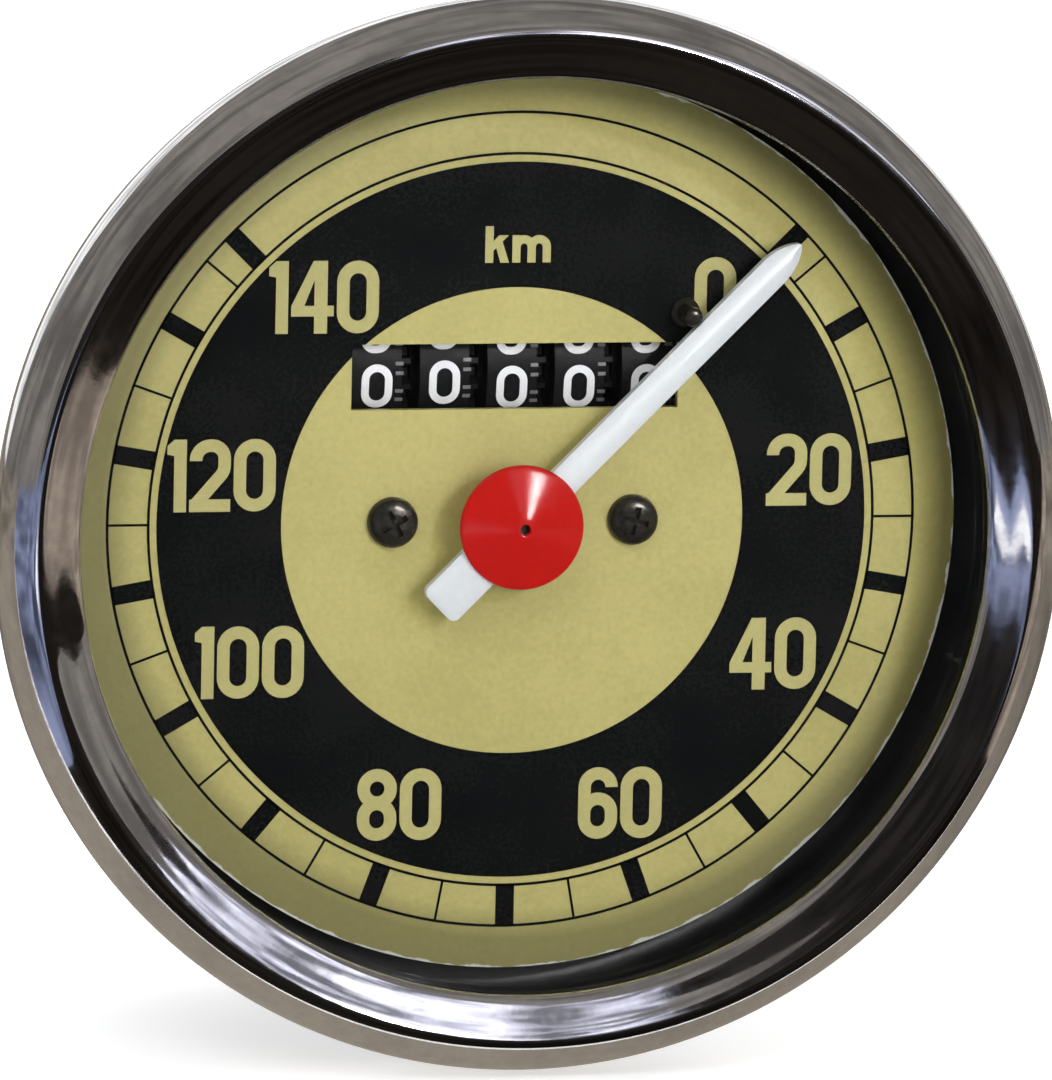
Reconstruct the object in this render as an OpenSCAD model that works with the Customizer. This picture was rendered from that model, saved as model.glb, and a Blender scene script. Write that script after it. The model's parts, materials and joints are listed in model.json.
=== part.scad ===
// Round panel speedometer with a magnetic drive and a five-drum distance counter.
// Local axes while modelling: x right, y up, z towards the reader.
// z = 0 where the full barrel of the case ends, just behind the bezel hem.
// The instrument is then stood up, so that the dial faces -Y and +Z is up.

/* [Case] */
// Outside radius of the barrel, the front cup of the case
case_r = 40; // [39:0.5:46]
// Depth of the barrel behind the bezel hem
barrel_depth = 8; // [7.5:0.5:9]
// Outside radius of the rear corner of the barrel
barrel_corner_r = 3; // [2:0.5:3.5]
// Room round the movement base, inside the body of the case
base_room = 4; // [4:0.25:5.5]
// Sheet thickness of the case
case_wall = 1; // [0.8:0.1:1.4]
// Depth of the case behind the bezel hem
case_depth = 50; // [49:0.5:60]
// Outside radius of the rear corner of the body
case_corner_r = 4; // [2:0.5:5]
// Depth of the relief in the barrel that the bezel hem is crimped over
crimp_relief = 0.5; // [0.4:0.05:0.6]
// Gap between the bezel hem and the full barrel
crimp_gap = 0.1; // [0.06:0.01:0.2]
// How far the rim flange stands out from the barrel
flange_w = 1.3; // [1:0.1:1.6]

/* [Bezel and glass] */
// Sheet thickness of the bezel
bezel_sheet = 0.8; // [0.6:0.05:1]
// Gap between the rim flange and the inside of the bezel skirt, at the hem
bezel_flange_gap = 0.2; // [0.1:0.05:0.4]
// Radius of the rolled hem corner
hem_corner = 0.6; // [0.3:0.1:0.8]
// Gap between the hem and the case barrel
hem_gap = 0.35; // [0.2:0.05:0.6]
// Height of the widest part of the skirt
skirt_rise = 4.6; // [4:0.1:5.2]
// How far the skirt leans in from its widest part to the hem
skirt_draft = 0.7; // [0.3:0.1:1]
// How far the skirt leans in at its shoulder
shoulder_in = 0.8; // [0.5:0.1:1]
// Drop from the crest to the shoulder
shoulder_drop = 1.9; // [1.6:0.1:2.3]
// How far the crest lies inside the skirt
crest_in = 2.9; // [2.5:0.1:3.5]
// Height of the crest above the front edge of the lip
crest_rise = 1.5; // [1:0.1:2.5]
// Radius of the rounded crest
crest_round = 0.9; // [0.6:0.1:1.2]
// How far the edge of the lip lies outside the edge of the dial
lip_clear = 0.4; // [0.2:0.1:0.8]
// Thickness of the inner edge of the lip
lip_t = 0.6; // [0.4:0.1:0.8]
// Width of the flat seat behind the lip
lip_seat_w = 1.9; // [1.6:0.1:2.2]
// Thickness of the glass
glass_t = 2; // [1.5:0.1:3]
// How far the glass reaches outwards past the lip
glass_reach = 3.3; // [2.6:0.1:3.6]
// Thickness of the seal in front of the glass
seal_t = 0.5; // [0.3:0.1:0.8]
// How far the seal stays behind the edge of the lip
seal_inset = 0.4; // [0.2:0.1:0.8]
// Thickness of the gasket behind the glass
gasket_t = 2.6; // [2:0.1:3.5]
// Setback of the gasket bore behind the lip
gasket_setback = 0.7; // [0.4:0.1:1.2]
// How far the gasket reaches past the edge of the glass
gasket_reach = 0.5; // [0.2:0.1:0.8]

/* [Dial] */
// Depth of the dial face behind the front end of the barrel
dial_depth = 3; // [2:0.1:4]
// Thickness of the dial
dial_t = 0.8; // [0.5:0.1:1]
// Gap between the dial edge and the case wall
dial_gap = 2.9; // [1.8:0.1:3.8]
// Height of the middle of the counter window above the pointer axis
window_y = 11.6; // [11.4:0.1:12.4]
// Height of the counter window
window_h = 5.25; // [4:0.05:6]
// Width of the window past the outer number bands
window_side = 0.3; // [0:0.05:0.8]
// Distance of each dial screw from the pointer axis
dial_screw_x = 9.75; // [8:0.25:12]
// Radius of the dial screw shank
dial_screw_r = 1; // [0.8:0.1:1.2]
// Radius of the dial screw head
dial_screw_head_r = 2.05; // [1.8:0.05:2.4]
// Height of the dial screw head
dial_screw_head_h = 1.2; // [0.8:0.1:1.5]
// Clearance of the screws and the arbor bush in the dial
dial_play = 0.3; // [0.1:0.05:0.5]
// Radius of the stop pin
stop_r = 0.8; // [0.6:0.1:1]
// Distance of the stop pin along the needle
stop_reach = 21.4; // [18:0.1:25]
// Gap between the resting needle and the stop pin
stop_gap = 0.05; // [0.02:0.01:0.1]
// Height of the stop pin above the needle
stop_over = 0.2; // [0:0.1:0.6]
// Thickness and overhang of the rivet head behind the dial
stop_rivet = 0.4; // [0.3:0.1:0.8]

/* [Pointer] */
// Height of the needle above the dial
needle_lift = 2.1; // [1.8:0.1:2.6]
// Thickness of the needle
needle_t = 1.2; // [0.8:0.1:1.5]
// Width of the needle
needle_w = 2.45; // [2:0.05:3]
// Reach of the needle tip from its axis
needle_reach = 31.6; // [28:0.1:33]
// Length of the pointed tip
needle_tip = 2.7; // [2:0.1:4]
// Chamfer along the needle's upper edges
needle_chamfer = 0.55; // [0.3:0.05:0.7]
// Radius of the needle hub under the cap
needle_hub_r = 3.5; // [2.5:0.1:4]
// Reach of the tail from the axis
tail_reach = 9.2; // [7:0.1:11]
// Width of the tail
tail_w = 3.6; // [3:0.1:4.5]
// Resting angle of the needle, clockwise from straight up
needle_rest = 45; // [30:1:60]
// Radius of the red cap
cap_r = 5; // [4.5:0.1:6]
// Height of the straight rim of the cap
cap_rim = 0.5; // [0.3:0.1:0.8]
// Height of the cone of the cap
cap_cone = 1.3; // [0.8:0.1:1.6]
// Radius of the flat top of the cap
cap_top_r = 0.8; // [0.6:0.1:1.2]
// Radius of the hole in the cap
cap_hole_r = 0.4; // [0.3:0.05:0.5]
// How far the arbor reaches into the cone of the cap
cap_grip = 0.5; // [0.2:0.1:0.7]
// Radius of the pointer arbor
arbor_r = 0.6; // [0.5:0.05:0.8]
// Radius of the arbor's rear pivot
pivot_r = 0.35; // [0.25:0.05:0.4]
// Depth of the rear pivot in the spindle
pivot_depth = 1.4; // [1:0.1:2]

/* [Magnetic drive] */
// Radius of the drive spindle
spindle_r = 2.5; // [2.2:0.1:2.8]
// Side of the square cable socket
socket_w = 2.75; // [2.6:0.05:2.9]
// Depth of the square cable socket
socket_depth = 10; // [8:0.5:14]
// Radius of the magnet
magnet_r = 11.5; // [10:0.1:11.7]
// Thickness of the magnet
magnet_t = 6; // [5:0.1:6.5]
// Gap on each side of the speed cup
air_gap = 0.8; // [0.6:0.05:0.9]
// Thickness of the speed cup
cup_t = 0.5; // [0.4:0.05:0.6]
// Thickness of the flux cup
flux_t = 1.2; // [0.9:0.1:1.3]
// Radius of the speed cup hub
cup_hub_r = 2.2; // [1.8:0.1:3]
// Height of the speed cup hub
cup_hub_h = 2; // [1.5:0.1:2.4]
// Radial running clearance of every bearing
running = 0.03; // [0.02:0.01:0.06]
// End play of every shaft
end_play = 0.1; // [0.05:0.01:0.15]

/* [Hairspring] */
// Inside radius of the hairspring
spring_in = 1.9; // [1.85:0.05:2.2]
// Outside radius of the hairspring
spring_out = 7; // [6:0.1:7.2]
// Number of turns of the hairspring
spring_turns = 5; // [4:1:6]
// Thickness of the hairspring strip
spring_t = 0.25; // [0.2:0.05:0.35]
// Width of the hairspring strip
spring_w = 0.8; // [0.6:0.1:1]
// Gap between the hairspring and its collet and anchor
spring_gap = 0.15; // [0.1:0.05:0.25]
// How far the collet and the anchor are wider than the strip, on each side
spring_margin = 0.3; // [0.2:0.1:0.5]
// Gap between the speed cup hub and the collet
collet_gap = 1.9; // [1.5:0.1:2.2]
// Width of the anchor arm
anchor_w = 2.4; // [2:0.1:3]

/* [Movement frame] */
// Radius of the base casting
base_r = 26.5; // [26.25:0.25:27]
// Thickness of the base casting
base_t = 2.8; // [2.4:0.1:3]
// Outside radius of the cable neck
neck_r = 9; // [8:0.25:10]
// Length of the cable neck behind the case
neck_len = 16; // [12:0.5:20]
// Step from the neck down to its spigot in the case
neck_step = 0.5; // [0.4:0.1:1]
// Clearance of the neck's spigot in the case
neck_play = 0.3; // [0.1:0.05:0.5]
// Radius of the cable ferrule bore
ferrule_r = 6; // [5:0.1:6.5]
// Depth of the cable ferrule bore
ferrule_depth = 6; // [4:0.5:8]
// Outside radius of the spindle bush
bush_r = 4.5; // [4:0.1:4.8]
// Overhang of the spindle bush collar
bush_collar_w = 1.5; // [1:0.1:2]
// Thickness of the spindle bush collar
bush_collar_t = 0.8; // [0.6:0.1:1]
// Radius of the frame pillars
pillar_r = 2.5; // [2:0.1:2.8]
// Sideways place of the frame pillars
pillar_x = 19; // [18.5:0.25:20]
// Drop of the frame pillars below the pointer axis
pillar_drop = 9; // [8:0.25:10]
// Shoulder of the pillar foot in the base
pillar_shoulder = 1; // [0.6:0.1:1.2]
// Depth of the pillar foot in the base
pillar_foot = 2; // [1.5:0.1:2.2]
// Thickness of the bridge plate
bridge_t = 1.5; // [1.2:0.1:1.6]
// Margin of the bridge plate round its bosses and pillars
bridge_margin = 0.5; // [0.3:0.1:1]
// Radius of the bridge screws
bridge_screw_r = 1.2; // [1:0.1:1.4]
// Depth of the bridge screw thread in the pillar
bridge_thread = 6; // [4:0.5:8]
// Height of the dial bosses on the bridge
boss_h = 2; // [1.8:0.1:2.4]
// Radius of the dial bosses
boss_r = 2.6; // [2.3:0.1:3]
// Radius of the arbor bush
arbor_bush_r = 2.2; // [1.8:0.1:2.6]
// How far the arbor bush stands behind the bridge
arbor_bush_tail = 1; // [0.5:0.1:2]
// Height of every small screw head
screw_head_h = 1.2; // [0.8:0.1:1.4]
// Overhang of every small screw head
screw_head_w = 1; // [0.8:0.1:1.2]

/* [Counter] */
// Radius of the number drums
drum_r = 7.1; // [6.9:0.05:7.3]
// Spacing of the number drums
drum_pitch = 5.47; // [5.4:0.01:5.8]
// Gap between two number bands, where the transfer gears run
transfer_space = 1.47; // [1.4:0.01:1.6]
// Gap between the dial and the drums
drum_gap = 0.4; // [0.3:0.05:0.8]
// Radius of the counter shaft
counter_shaft_r = 1.5; // [1.2:0.1:1.8]
// Wall of the sleeve that joins the units drum to its worm wheel
sleeve_wall = 1.6; // [1.2:0.1:2]
// Module of the transfer gears
transfer_m = 0.6; // [0.58:0.01:0.62]
// Width of the drum's transfer gear
transfer_w = 0.8; // [0.6:0.05:0.85]
// Thickness of the drum's locking disc
lock_w = 0.45; // [0.3:0.05:0.5]
// Gap between the locking disc and the pinion
lock_gap = 0.15; // [0.1:0.05:0.3]
// Width of a transfer pinion
pinion_w = 1.1; // [0.9:0.05:1.15]
// Radius of the pinion shaft
pinion_shaft_r = 0.9; // [0.7:0.05:1]
// Direction from the drum axis to the pinion axis, up from straight back
pinion_angle = 45; // [40:1:50]
// Sheet thickness of the counter frame
counter_sheet = 1; // [0.8:0.1:1.2]
// Gap between the frame cheeks and what turns inside them
cheek_gap = 0.5; // [0.3:0.05:0.8]
// Reach of the frame cheeks past the drum axis, towards the dial
cheek_reach = 4; // [3:0.1:5]
// Margin of the frame cheeks above the pinion shaft
cheek_margin = 3; // [2:0.1:4]
// Gap between the web of the frame and the pinions and the speed cup
web_gap = 0.9; // [0.5:0.1:1.2]
// Height of the frame legs above the pointer axis
leg_y = 14; // [13.5:0.1:15]
// Width of the frame legs
leg_w = 5; // [4:0.1:6]
// Length of the frame feet
foot_len = 6; // [5:0.1:7]
// Radius of the screws in the frame feet
foot_screw_r = 1.2; // [1:0.1:1.4]

/* [Worm train] */
// Module of the worm wheels
worm_m = 0.5; // [0.48:0.01:0.52]
// Pitch radius of the worm on the cross shaft
cross_worm_r = 2.4; // [2.2:0.05:2.6]
// Pitch radius of the worm on the lift shaft
lift_worm_r = 2.95; // [2.8:0.05:3.1]
// Length of every worm thread
worm_len = 5; // [4.4:0.1:5.6]
// Length of the worm hubs past the thread
worm_hub = 0.9; // [0.6:0.1:1.4]
// Step from the thread root down to the worm hub
worm_hub_step = 0.3; // [0.2:0.05:0.4]
// Width of every worm wheel
wheel_w = 1.8; // [1.4:0.1:2]
// Wall of the wheel hubs
wheel_hub_wall = 1.2; // [0.8:0.1:1.5]
// Length of the hub of the lift wheel
wheel_hub = 2; // [1:0.1:3]
// Sideways place of the lift shaft
lift_x = 16.6; // [16.4:0.1:17.2]
// Depth of the lift shaft in the base
lift_pivot = 1.6; // [1:0.1:2]
// Radius of the cross shaft and the lift shaft
train_shaft_r = 1; // [0.8:0.1:1.1]
// Gap between the cross wheel and the base, and to the flux cup
wheel_gap = 0.4; // [0.3:0.05:0.8]
// Distance of the left lug's outer face from the pointer axis
lug_reach = 9; // [7:0.1:11]
// Thickness of the cast lugs
lug_w = 2.4; // [2:0.1:3]
// Wall of the cast lugs and the bridge ear round their shafts
lug_wall = 1.6; // [1.2:0.1:2]

/* [Rear fittings] */
// Radius of the mounting studs
stud_r = 2.5; // [2:0.25:3]
// Length of the mounting studs behind the case
stud_len = 16; // [10:0.5:20]
// Gap between the stud heads and the rounded rear corner of the body
stud_edge = 0.3; // [0.1:0.1:0.6]
// Step from the stud thread down to its shank in the case
stud_step = 0.3; // [0.2:0.1:0.5]
// Gap between the case and the shoulders of the neck and the studs
shoulder_gap = 0.2; // [0.15:0.05:0.3]
// Radius of the stud heads inside the case
stud_head_r = 4.2; // [3.6:0.1:4.6]
// Thickness of the stud heads
stud_head_t = 1.2; // [0.8:0.1:1.6]
// Gap between the base casting and the stud heads and lamp holder
base_relief = 0.8; // [0.4:0.1:1.2]
// Radius of the base screws
base_screw_r = 1.5; // [1.25:0.05:1.75]
// Distance of the base screws from the axis
base_screw_ring = 20.5; // [20:0.25:21]
// Direction of the lamp from the axis, counter-clockwise from the right
lamp_angle = 235; // [232:1:238]
// Gap between the lamp flange and the rounded rear corner of the body
lamp_edge = 0.2; // [0.1:0.1:0.4]
// Radius of the lamp holder sleeve
lamp_r = 5.1; // [4.6:0.1:5.4]
// Clearance of the lamp holder in the case
lamp_play = 0.1; // [0.05:0.05:0.2]
// Depth of the lamp holder inside the case
lamp_depth = 6; // [5:0.1:8]
// Overhang of the lamp holder flange
lamp_flange_w = 1.2; // [0.8:0.1:1.2]
// Thickness of the lamp holder flange
lamp_flange_t = 1; // [0.6:0.1:1.5]
// Height of the lamp holder's rear boss
lamp_boss_h = 3; // [2:0.1:5]
// Radius of the glass of the bulb
bulb_r = 3.6; // [3:0.1:4.2]
// Length of the bulb in front of its seat
bulb_len = 13; // [10:0.5:16]
// Depth of the bulb base in the holder
bulb_seat = 4; // [3:0.1:4.8]
// Width of the lamp terminal
terminal_w = 4; // [3:0.1:6.3]
// Thickness of the lamp terminal
terminal_t = 0.8; // [0.5:0.1:1]
// Length of the lamp terminal
terminal_len = 8; // [6:0.5:12]

/* [Hidden] */
$fn = 48;

// Colours of the finishes
chrome = "#c9ccd0";
gold = "#b9b46f";
black = "#17181b";
white = "#eef0f2";
red = "#c01a14";
steel = "#8f959b";
brass = "#c2a14f";
zinc = "#9a9c98";
rubber = "#202022";
aluminium = "#b8bcc0";
enamel = "#2b2d30";
glass = "#dfe8ea55";

// How far a cutting shape runs clear of the face that it cuts
cut = 0.5;

// Levels of the front stack
hem_rear = crimp_gap;
hem_front = hem_rear + bezel_sheet;
flange_front = hem_front + case_wall;
glass_rear = flange_front + gasket_t;
glass_front = glass_rear + glass_t;
lip_rear = glass_front + seal_t;
lip_front = lip_rear + lip_t;
crest_z = lip_front + crest_rise;

// Radii of the front stack
case_bore = case_r - case_wall;
body_bore = base_r + base_room;
body_r = body_bore + case_wall;
rear_flat_r = body_r - case_corner_r;
flange_r = case_r + flange_w;
hem_r = flange_r + bezel_flange_gap + bezel_sheet;
bezel_r = hem_r + skirt_draft;
crest_r = bezel_r - crest_in;
dial_r = case_bore - dial_gap;
lip_r = dial_r + lip_clear;
glass_r = lip_r + glass_reach;

// Levels of the dial, the bridge and the needle
dial_front = -dial_depth;
dial_rear = dial_front - dial_t;
bridge_front = dial_rear - boss_h;
bridge_rear = bridge_front - bridge_t;
needle_rear = dial_front + needle_lift;
needle_front = needle_rear + needle_t;
cap_shoulder = needle_front + cap_rim;
cap_front = cap_shoulder + cap_cone;
arbor_front = cap_shoulder + cap_grip;

// Levels of the case rear and the base
case_rear = -case_depth;
floor_z = case_rear + case_wall;
base_top = floor_z + base_t;
shoulder_z = case_rear - shoulder_gap;
neck_rear = case_rear - neck_len;
spigot_r = neck_r - neck_step;
bush_rear = neck_rear + ferrule_depth;
bush_front = base_top + bush_collar_t;

// Worm wheels: teeth, tooth shape and pitch radii
teeth_cross = 20;
teeth_lift = 20;
teeth_drum = 25;
worm_pitch = PI * worm_m;
worm_head = worm_m;
worm_foot = 1.2 * worm_m;
wheel_tooth = 0.42;
thread_root = 0.44;
thread_crest = 0.16;
cross_wheel_r = teeth_cross * worm_m / 2;
lift_wheel_r = teeth_lift * worm_m / 2;
drum_wheel_r = teeth_drum * worm_m / 2;

// Places of the shafts of the worm train
lift_y = window_y - drum_wheel_r - lift_worm_r;
cross_y = lift_y + lift_wheel_r + cross_worm_r;
spindle_worm_r = cross_y - cross_wheel_r;
cross_wheel_tip = cross_wheel_r + worm_head;
cross_z = base_top + cross_wheel_tip + wheel_gap;
lug_half = train_shaft_r + lug_wall;
lug_right = lift_x + worm_len / 2 + worm_hub + end_play;
lift_foot = base_top - lift_pivot;

// Levels and radii of the magnetic drive, built up from the cross wheel
flux_rear = cross_z + cross_wheel_tip + wheel_gap;
flux_floor = flux_rear + flux_t;
magnet_front = flux_floor + magnet_t;
cup_floor = magnet_front + air_gap;
cup_front = cup_floor + cup_t;
cup_hub_front = cup_front + cup_hub_h;
cup_in = magnet_r + air_gap;
cup_out = cup_in + cup_t;
flux_in = cup_out + air_gap;
flux_out = flux_in + flux_t;

// Hairspring spiral and its anchor on the left pillar
collet_rear = cup_hub_front + collet_gap;
collet_r = spring_in - spring_gap;
spring_rear = collet_rear + spring_margin;
spring_pitch = (spring_out - spring_in) / spring_turns;
spring_steps = 30;
anchor_angle = 180 + atan2(pillar_drop, pillar_x);
anchor_in = spring_out + spring_t + spring_gap;
anchor_t = spring_w + 2 * spring_margin;
clamp_wall = 1.4;

// Counter: drums and transfer gears
drum_count = 5;
band_w = drum_pitch - transfer_space;
window_w = (drum_count - 1) * drum_pitch + band_w + 2 * window_side;
drum_z = dial_rear - drum_gap - drum_r;
drum_teeth = 20;
pinion_teeth = 8;
drum_gear_r = drum_teeth * transfer_m / 2;
pinion_gear_r = pinion_teeth * transfer_m / 2;
pinion_tip = pinion_gear_r + transfer_m;
transfer_foot = 1.15 * transfer_m;
transfer_tooth = 0.4;
pinion_reach = drum_gear_r + pinion_gear_r;
pinion_y = window_y + pinion_reach * sin(pinion_angle);
pinion_z = drum_z - pinion_reach * cos(pinion_angle);
lock_r = pinion_reach - pinion_tip - lock_gap;
sleeve_r = counter_shaft_r + sleeve_wall;
wheel_left = lift_x - wheel_w / 2;

// Counter frame: cheeks, web and feet
cheek_left = drum_x(drum_count) - band_w / 2 - cheek_gap - counter_sheet;
cheek_right = lift_x + wheel_w / 2 + cheek_gap;
frame_right = cheek_right + counter_sheet;
cheek_bottom = lift_y + lift_worm_r + worm_head + cheek_gap;
cheek_top = pinion_y + cheek_margin;
cheek_front = drum_z + cheek_reach;
web_front = pinion_z - pinion_tip - web_gap;
web_rear = web_front - counter_sheet;
web_bottom = cup_out + web_gap;

// Rear fittings
stud_x = rear_flat_r - stud_head_r - stud_edge;
shank_r = stud_r - stud_step;
base_screw_angles = [30, 150, 270];
// Share of a blind hole that its screw fills
screw_reach = 0.9;
lamp_front = floor_z + lamp_depth;
lamp_rear = case_rear - lamp_flange_t - lamp_boss_h;
lamp_ring = rear_flat_r - lamp_r - lamp_flange_w - lamp_edge;
lamp_step = 1;
bulb_step = 0.4;
bulb_neck = 1;

// Sideways place of drum k, counted from the units on the right
function drum_x(k) = ((drum_count + 1) / 2 - k) * drum_pitch;
// Point at a radius and an angle
function polar(r, a) = [r * cos(a), r * sin(a)];
// Points of an arc
function arc(c, r, a0, a1, n) = [for (i = [0 : n]) c + polar(r, a0 + (a1 - a0) * i / n)];
// Radius of the hairspring after an angle
function spiral(a) = spring_in + spring_pitch * a / 360;
// Half width of the needle at a share t of its pointed tip
function tip_half(t) = needle_w / 2 * (1 - t * t);
// Centre of the stop pin, beside the resting needle
function stop_place() =
    let (a = 90 - needle_rest, off = needle_w / 2 + stop_gap + stop_r)
    polar(stop_reach, a) + polar(off, a + 90);

// Turns the local axes into the frame of the finished part
module stand_up() {
    rotate([90, 0, 0]) children();
}

// Lays a shape that runs along z along x; angle a then points to (y, z) = (sin a, -cos a)
module along_x() {
    rotate([0, 90, 0]) children();
}

// Repeats a shape to the left and the right of the pointer axis
module both_sides(x, y = 0) {
    for (side = [-1, 1]) translate([side * x, y]) children();
}

// A round bar between two levels
module bar(r, z0, z1) {
    translate([0, 0, z0]) cylinder(r = r, h = z1 - z0);
}

// A round cutter that runs clear of both levels
module drill(r, z0, z1) {
    bar(r, z0 - cut, z1 + cut);
}

// A ring of rectangular section
module ring(r_in, r_out, z0, z1) {
    difference() {
        bar(r_out, z0, z1);
        drill(r_in, z0, z1);
    }
}

// A box between two corners
module block(p, q) {
    translate(p) cube(q - p);
}

// Outline of a toothed wheel with one tooth gap facing angle 0
module toothed(n, m, foot, share) {
    r = n * m / 2;
    step = 360 / n;
    half = step * share / 2;
    polygon([for (i = [0 : n - 1]) let (a = (i + 0.5) * step) each [
        polar(r - foot, a - 1.5 * half),
        polar(r + m, a - 0.5 * half),
        polar(r + m, a + 0.5 * half),
        polar(r - foot, a + 1.5 * half)
    ]]);
}

// Cross-section of a single-start worm, with its crest at angle 0
module worm_section(r) {
    crest = 180 * thread_crest;
    root = 180 * thread_root;
    high = r + worm_head;
    low = r - worm_foot;
    flank = [for (t = [1 / 3, 2 / 3]) [high + (low - high) * t, crest + (root - crest) * t]];
    polygon(concat(
        [for (i = [-2 : 2]) polar(high, crest * i / 2)],
        [for (f = flank) polar(f[0], f[1])],
        [for (i = [0 : 6]) polar(low, root + (360 - 2 * root) * i / 6)],
        [for (i = [1, 0]) polar(flank[i][0], -flank[i][1])]
    ));
}

// Right-hand worm along z on a hub, with its crest at mid-length facing an angle
module worm(r, bore, facing, hub_rear = worm_hub, hub_front = worm_hub) {
    turn = 360 * worm_len / worm_pitch;
    half = worm_len / 2;
    difference() {
        union() {
            translate([0, 0, -half])
                linear_extrude(height = worm_len, twist = -turn, slices = ceil(turn / 30), $fn = 18)
                    rotate(facing - turn / 2) worm_section(r);
            bar(r - worm_foot - worm_hub_step, -half - hub_rear, half + hub_front);
        }
        drill(bore, -half - hub_rear, half + hub_front);
    }
}

// Worm wheel along z with a tooth gap facing an angle, on a hub that reaches to hub_end
module worm_wheel(teeth, bore, facing, hub_end) {
    half = wheel_w / 2;
    difference() {
        union() {
            linear_extrude(height = wheel_w, center = true)
                rotate(facing) toothed(teeth, worm_m, worm_foot, wheel_tooth);
            bar(bore + wheel_hub_wall, min(hub_end, -half), max(hub_end, half));
        }
        drill(bore, min(hub_end, -half), max(hub_end, half));
    }
}

// Slotted screw with the seat of its head at z = 0
module screw(r, len, head_r, head_h) {
    slot = 0.6 * r;
    bar(r, -len, 0);
    difference() {
        bar(head_r, 0, head_h);
        block([-head_r - cut, -slot / 2, head_h / 2], [head_r + cut, slot / 2, head_h + cut]);
    }
}

// Case and front

module case_shell() {
    inner_corner = case_corner_r - case_wall;
    inner_turn = barrel_corner_r - case_wall;
    barrel_turn = [case_r - barrel_corner_r, barrel_corner_r - barrel_depth];
    color(enamel) stand_up() difference() {
        rotate_extrude() polygon(concat(
            [[0, case_rear]],
            arc([rear_flat_r, case_rear + case_corner_r], case_corner_r, -90, 0, 6),
            [[body_r, -barrel_depth]],
            arc(barrel_turn, barrel_corner_r, -90, 0, 6),
            [[case_r, 0], [case_r - crimp_relief, 0]],
            [[case_r - crimp_relief, hem_front], [flange_r, hem_front]],
            [[flange_r, flange_front], [case_bore, flange_front]],
            arc(barrel_turn, inner_turn, 0, -90, 6),
            [[body_bore, case_wall - barrel_depth]],
            arc([rear_flat_r, floor_z + inner_corner], inner_corner, 0, -90, 6),
            [[0, floor_z]]
        ));
        drill(spigot_r + neck_play, case_rear, floor_z);
        both_sides(stud_x) drill(shank_r, case_rear, floor_z);
        base_screw_ring() drill(base_screw_r, case_rear, floor_z);
        lamp_place() drill(lamp_r + lamp_play, case_rear, floor_z);
    }
}

module bezel_ring() {
    shoulder = [bezel_r - shoulder_in, crest_z - shoulder_drop];
    crest = [crest_r, crest_z - crest_round];
    color(chrome) stand_up() rotate_extrude($fn = 96) polygon(concat(
        [[case_r + hem_gap, hem_rear]],
        arc([hem_r - hem_corner, hem_rear + hem_corner], hem_corner, -90, 0, 4),
        [[bezel_r, hem_rear + skirt_rise], shoulder],
        arc(crest, crest_round, 45, 112, 6),
        [[lip_r, lip_front], [lip_r, lip_rear], [lip_r + lip_seat_w, lip_rear]],
        [crest + [0, crest_round - 1.5 * bezel_sheet], shoulder - bezel_sheet * [1, 0.25]],
        [[bezel_r - bezel_sheet, hem_rear + skirt_rise], [hem_r - bezel_sheet, hem_front]],
        [[case_r + hem_gap, hem_front]]
    ));
}

module lens_glass() {
    color(glass) stand_up() bar(glass_r, glass_rear, glass_front);
}

module lens_seal() {
    color(rubber) stand_up() ring(lip_r + seal_inset, lip_r + lip_seat_w, glass_front, lip_rear);
}

module lens_gasket() {
    color(rubber) stand_up()
        ring(lip_r + gasket_setback, glass_r + gasket_reach, flange_front, glass_rear);
}

module dial_plate() {
    color(gold) stand_up() difference() {
        bar(dial_r, dial_rear, dial_front);
        block([-window_w / 2, window_y - window_h / 2, dial_rear - cut],
              [window_w / 2, window_y + window_h / 2, dial_front + cut]);
        drill(arbor_bush_r + dial_play, dial_rear, dial_front);
        both_sides(dial_screw_x) drill(dial_screw_r + dial_play, dial_rear, dial_front);
        translate(stop_place()) drill(stop_r, dial_rear, dial_front);
    }
}

module dial_screws() {
    color(black) stand_up() both_sides(dial_screw_x) translate([0, 0, dial_front])
        screw(dial_screw_r, dial_t + boss_h + bridge_t * screw_reach, dial_screw_head_r, dial_screw_head_h);
}

module stop_pin() {
    color(black) stand_up() translate(stop_place()) {
        bar(stop_r, dial_rear, needle_front + stop_over);
        bar(stop_r + stop_rivet, dial_rear - stop_rivet, dial_rear);
    }
}

// Pointer body

module pointer() {
    half = needle_w / 2;
    neck = needle_reach - needle_tip;
    flat = half - needle_chamfer;
    eave = needle_front - needle_chamfer;
    tip = [for (i = [0 : 5]) [tip_half(i / 5), neck + needle_tip * i / 5]];
    mirrored = [for (i = [4 : -1 : 0]) [-tip[i][0], tip[i][1]]];
    roof = [[-half, needle_rear], [half, needle_rear], [half, eave], [flat, needle_front],
            [-flat, needle_front], [-half, eave]];
    color(white) stand_up() difference() {
        union() {
            rotate(-needle_rest) {
                intersection() {
                    translate([0, 0, needle_rear]) linear_extrude(height = needle_t)
                        polygon(concat([[-half, 0], [half, 0]], tip, mirrored));
                    translate([0, needle_reach + cut, 0]) rotate([90, 0, 0])
                        linear_extrude(height = needle_reach + 2 * cut) polygon(roof);
                }
                block([-tail_w / 2, -tail_reach, needle_rear], [tail_w / 2, 0, needle_front]);
            }
            bar(needle_hub_r, needle_rear, needle_front);
        }
        drill(arbor_r, needle_rear, needle_front);
    }
}

module pointer_cap() {
    color(red) stand_up() difference() {
        rotate_extrude() polygon([
            [0, needle_front], [cap_r, needle_front], [cap_r, cap_shoulder],
            [cap_top_r, cap_front], [0, cap_front]
        ]);
        bar(arbor_r, needle_front - cut, arbor_front);
        bar(cap_hole_r, needle_front, cap_front + cut);
    }
}

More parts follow.
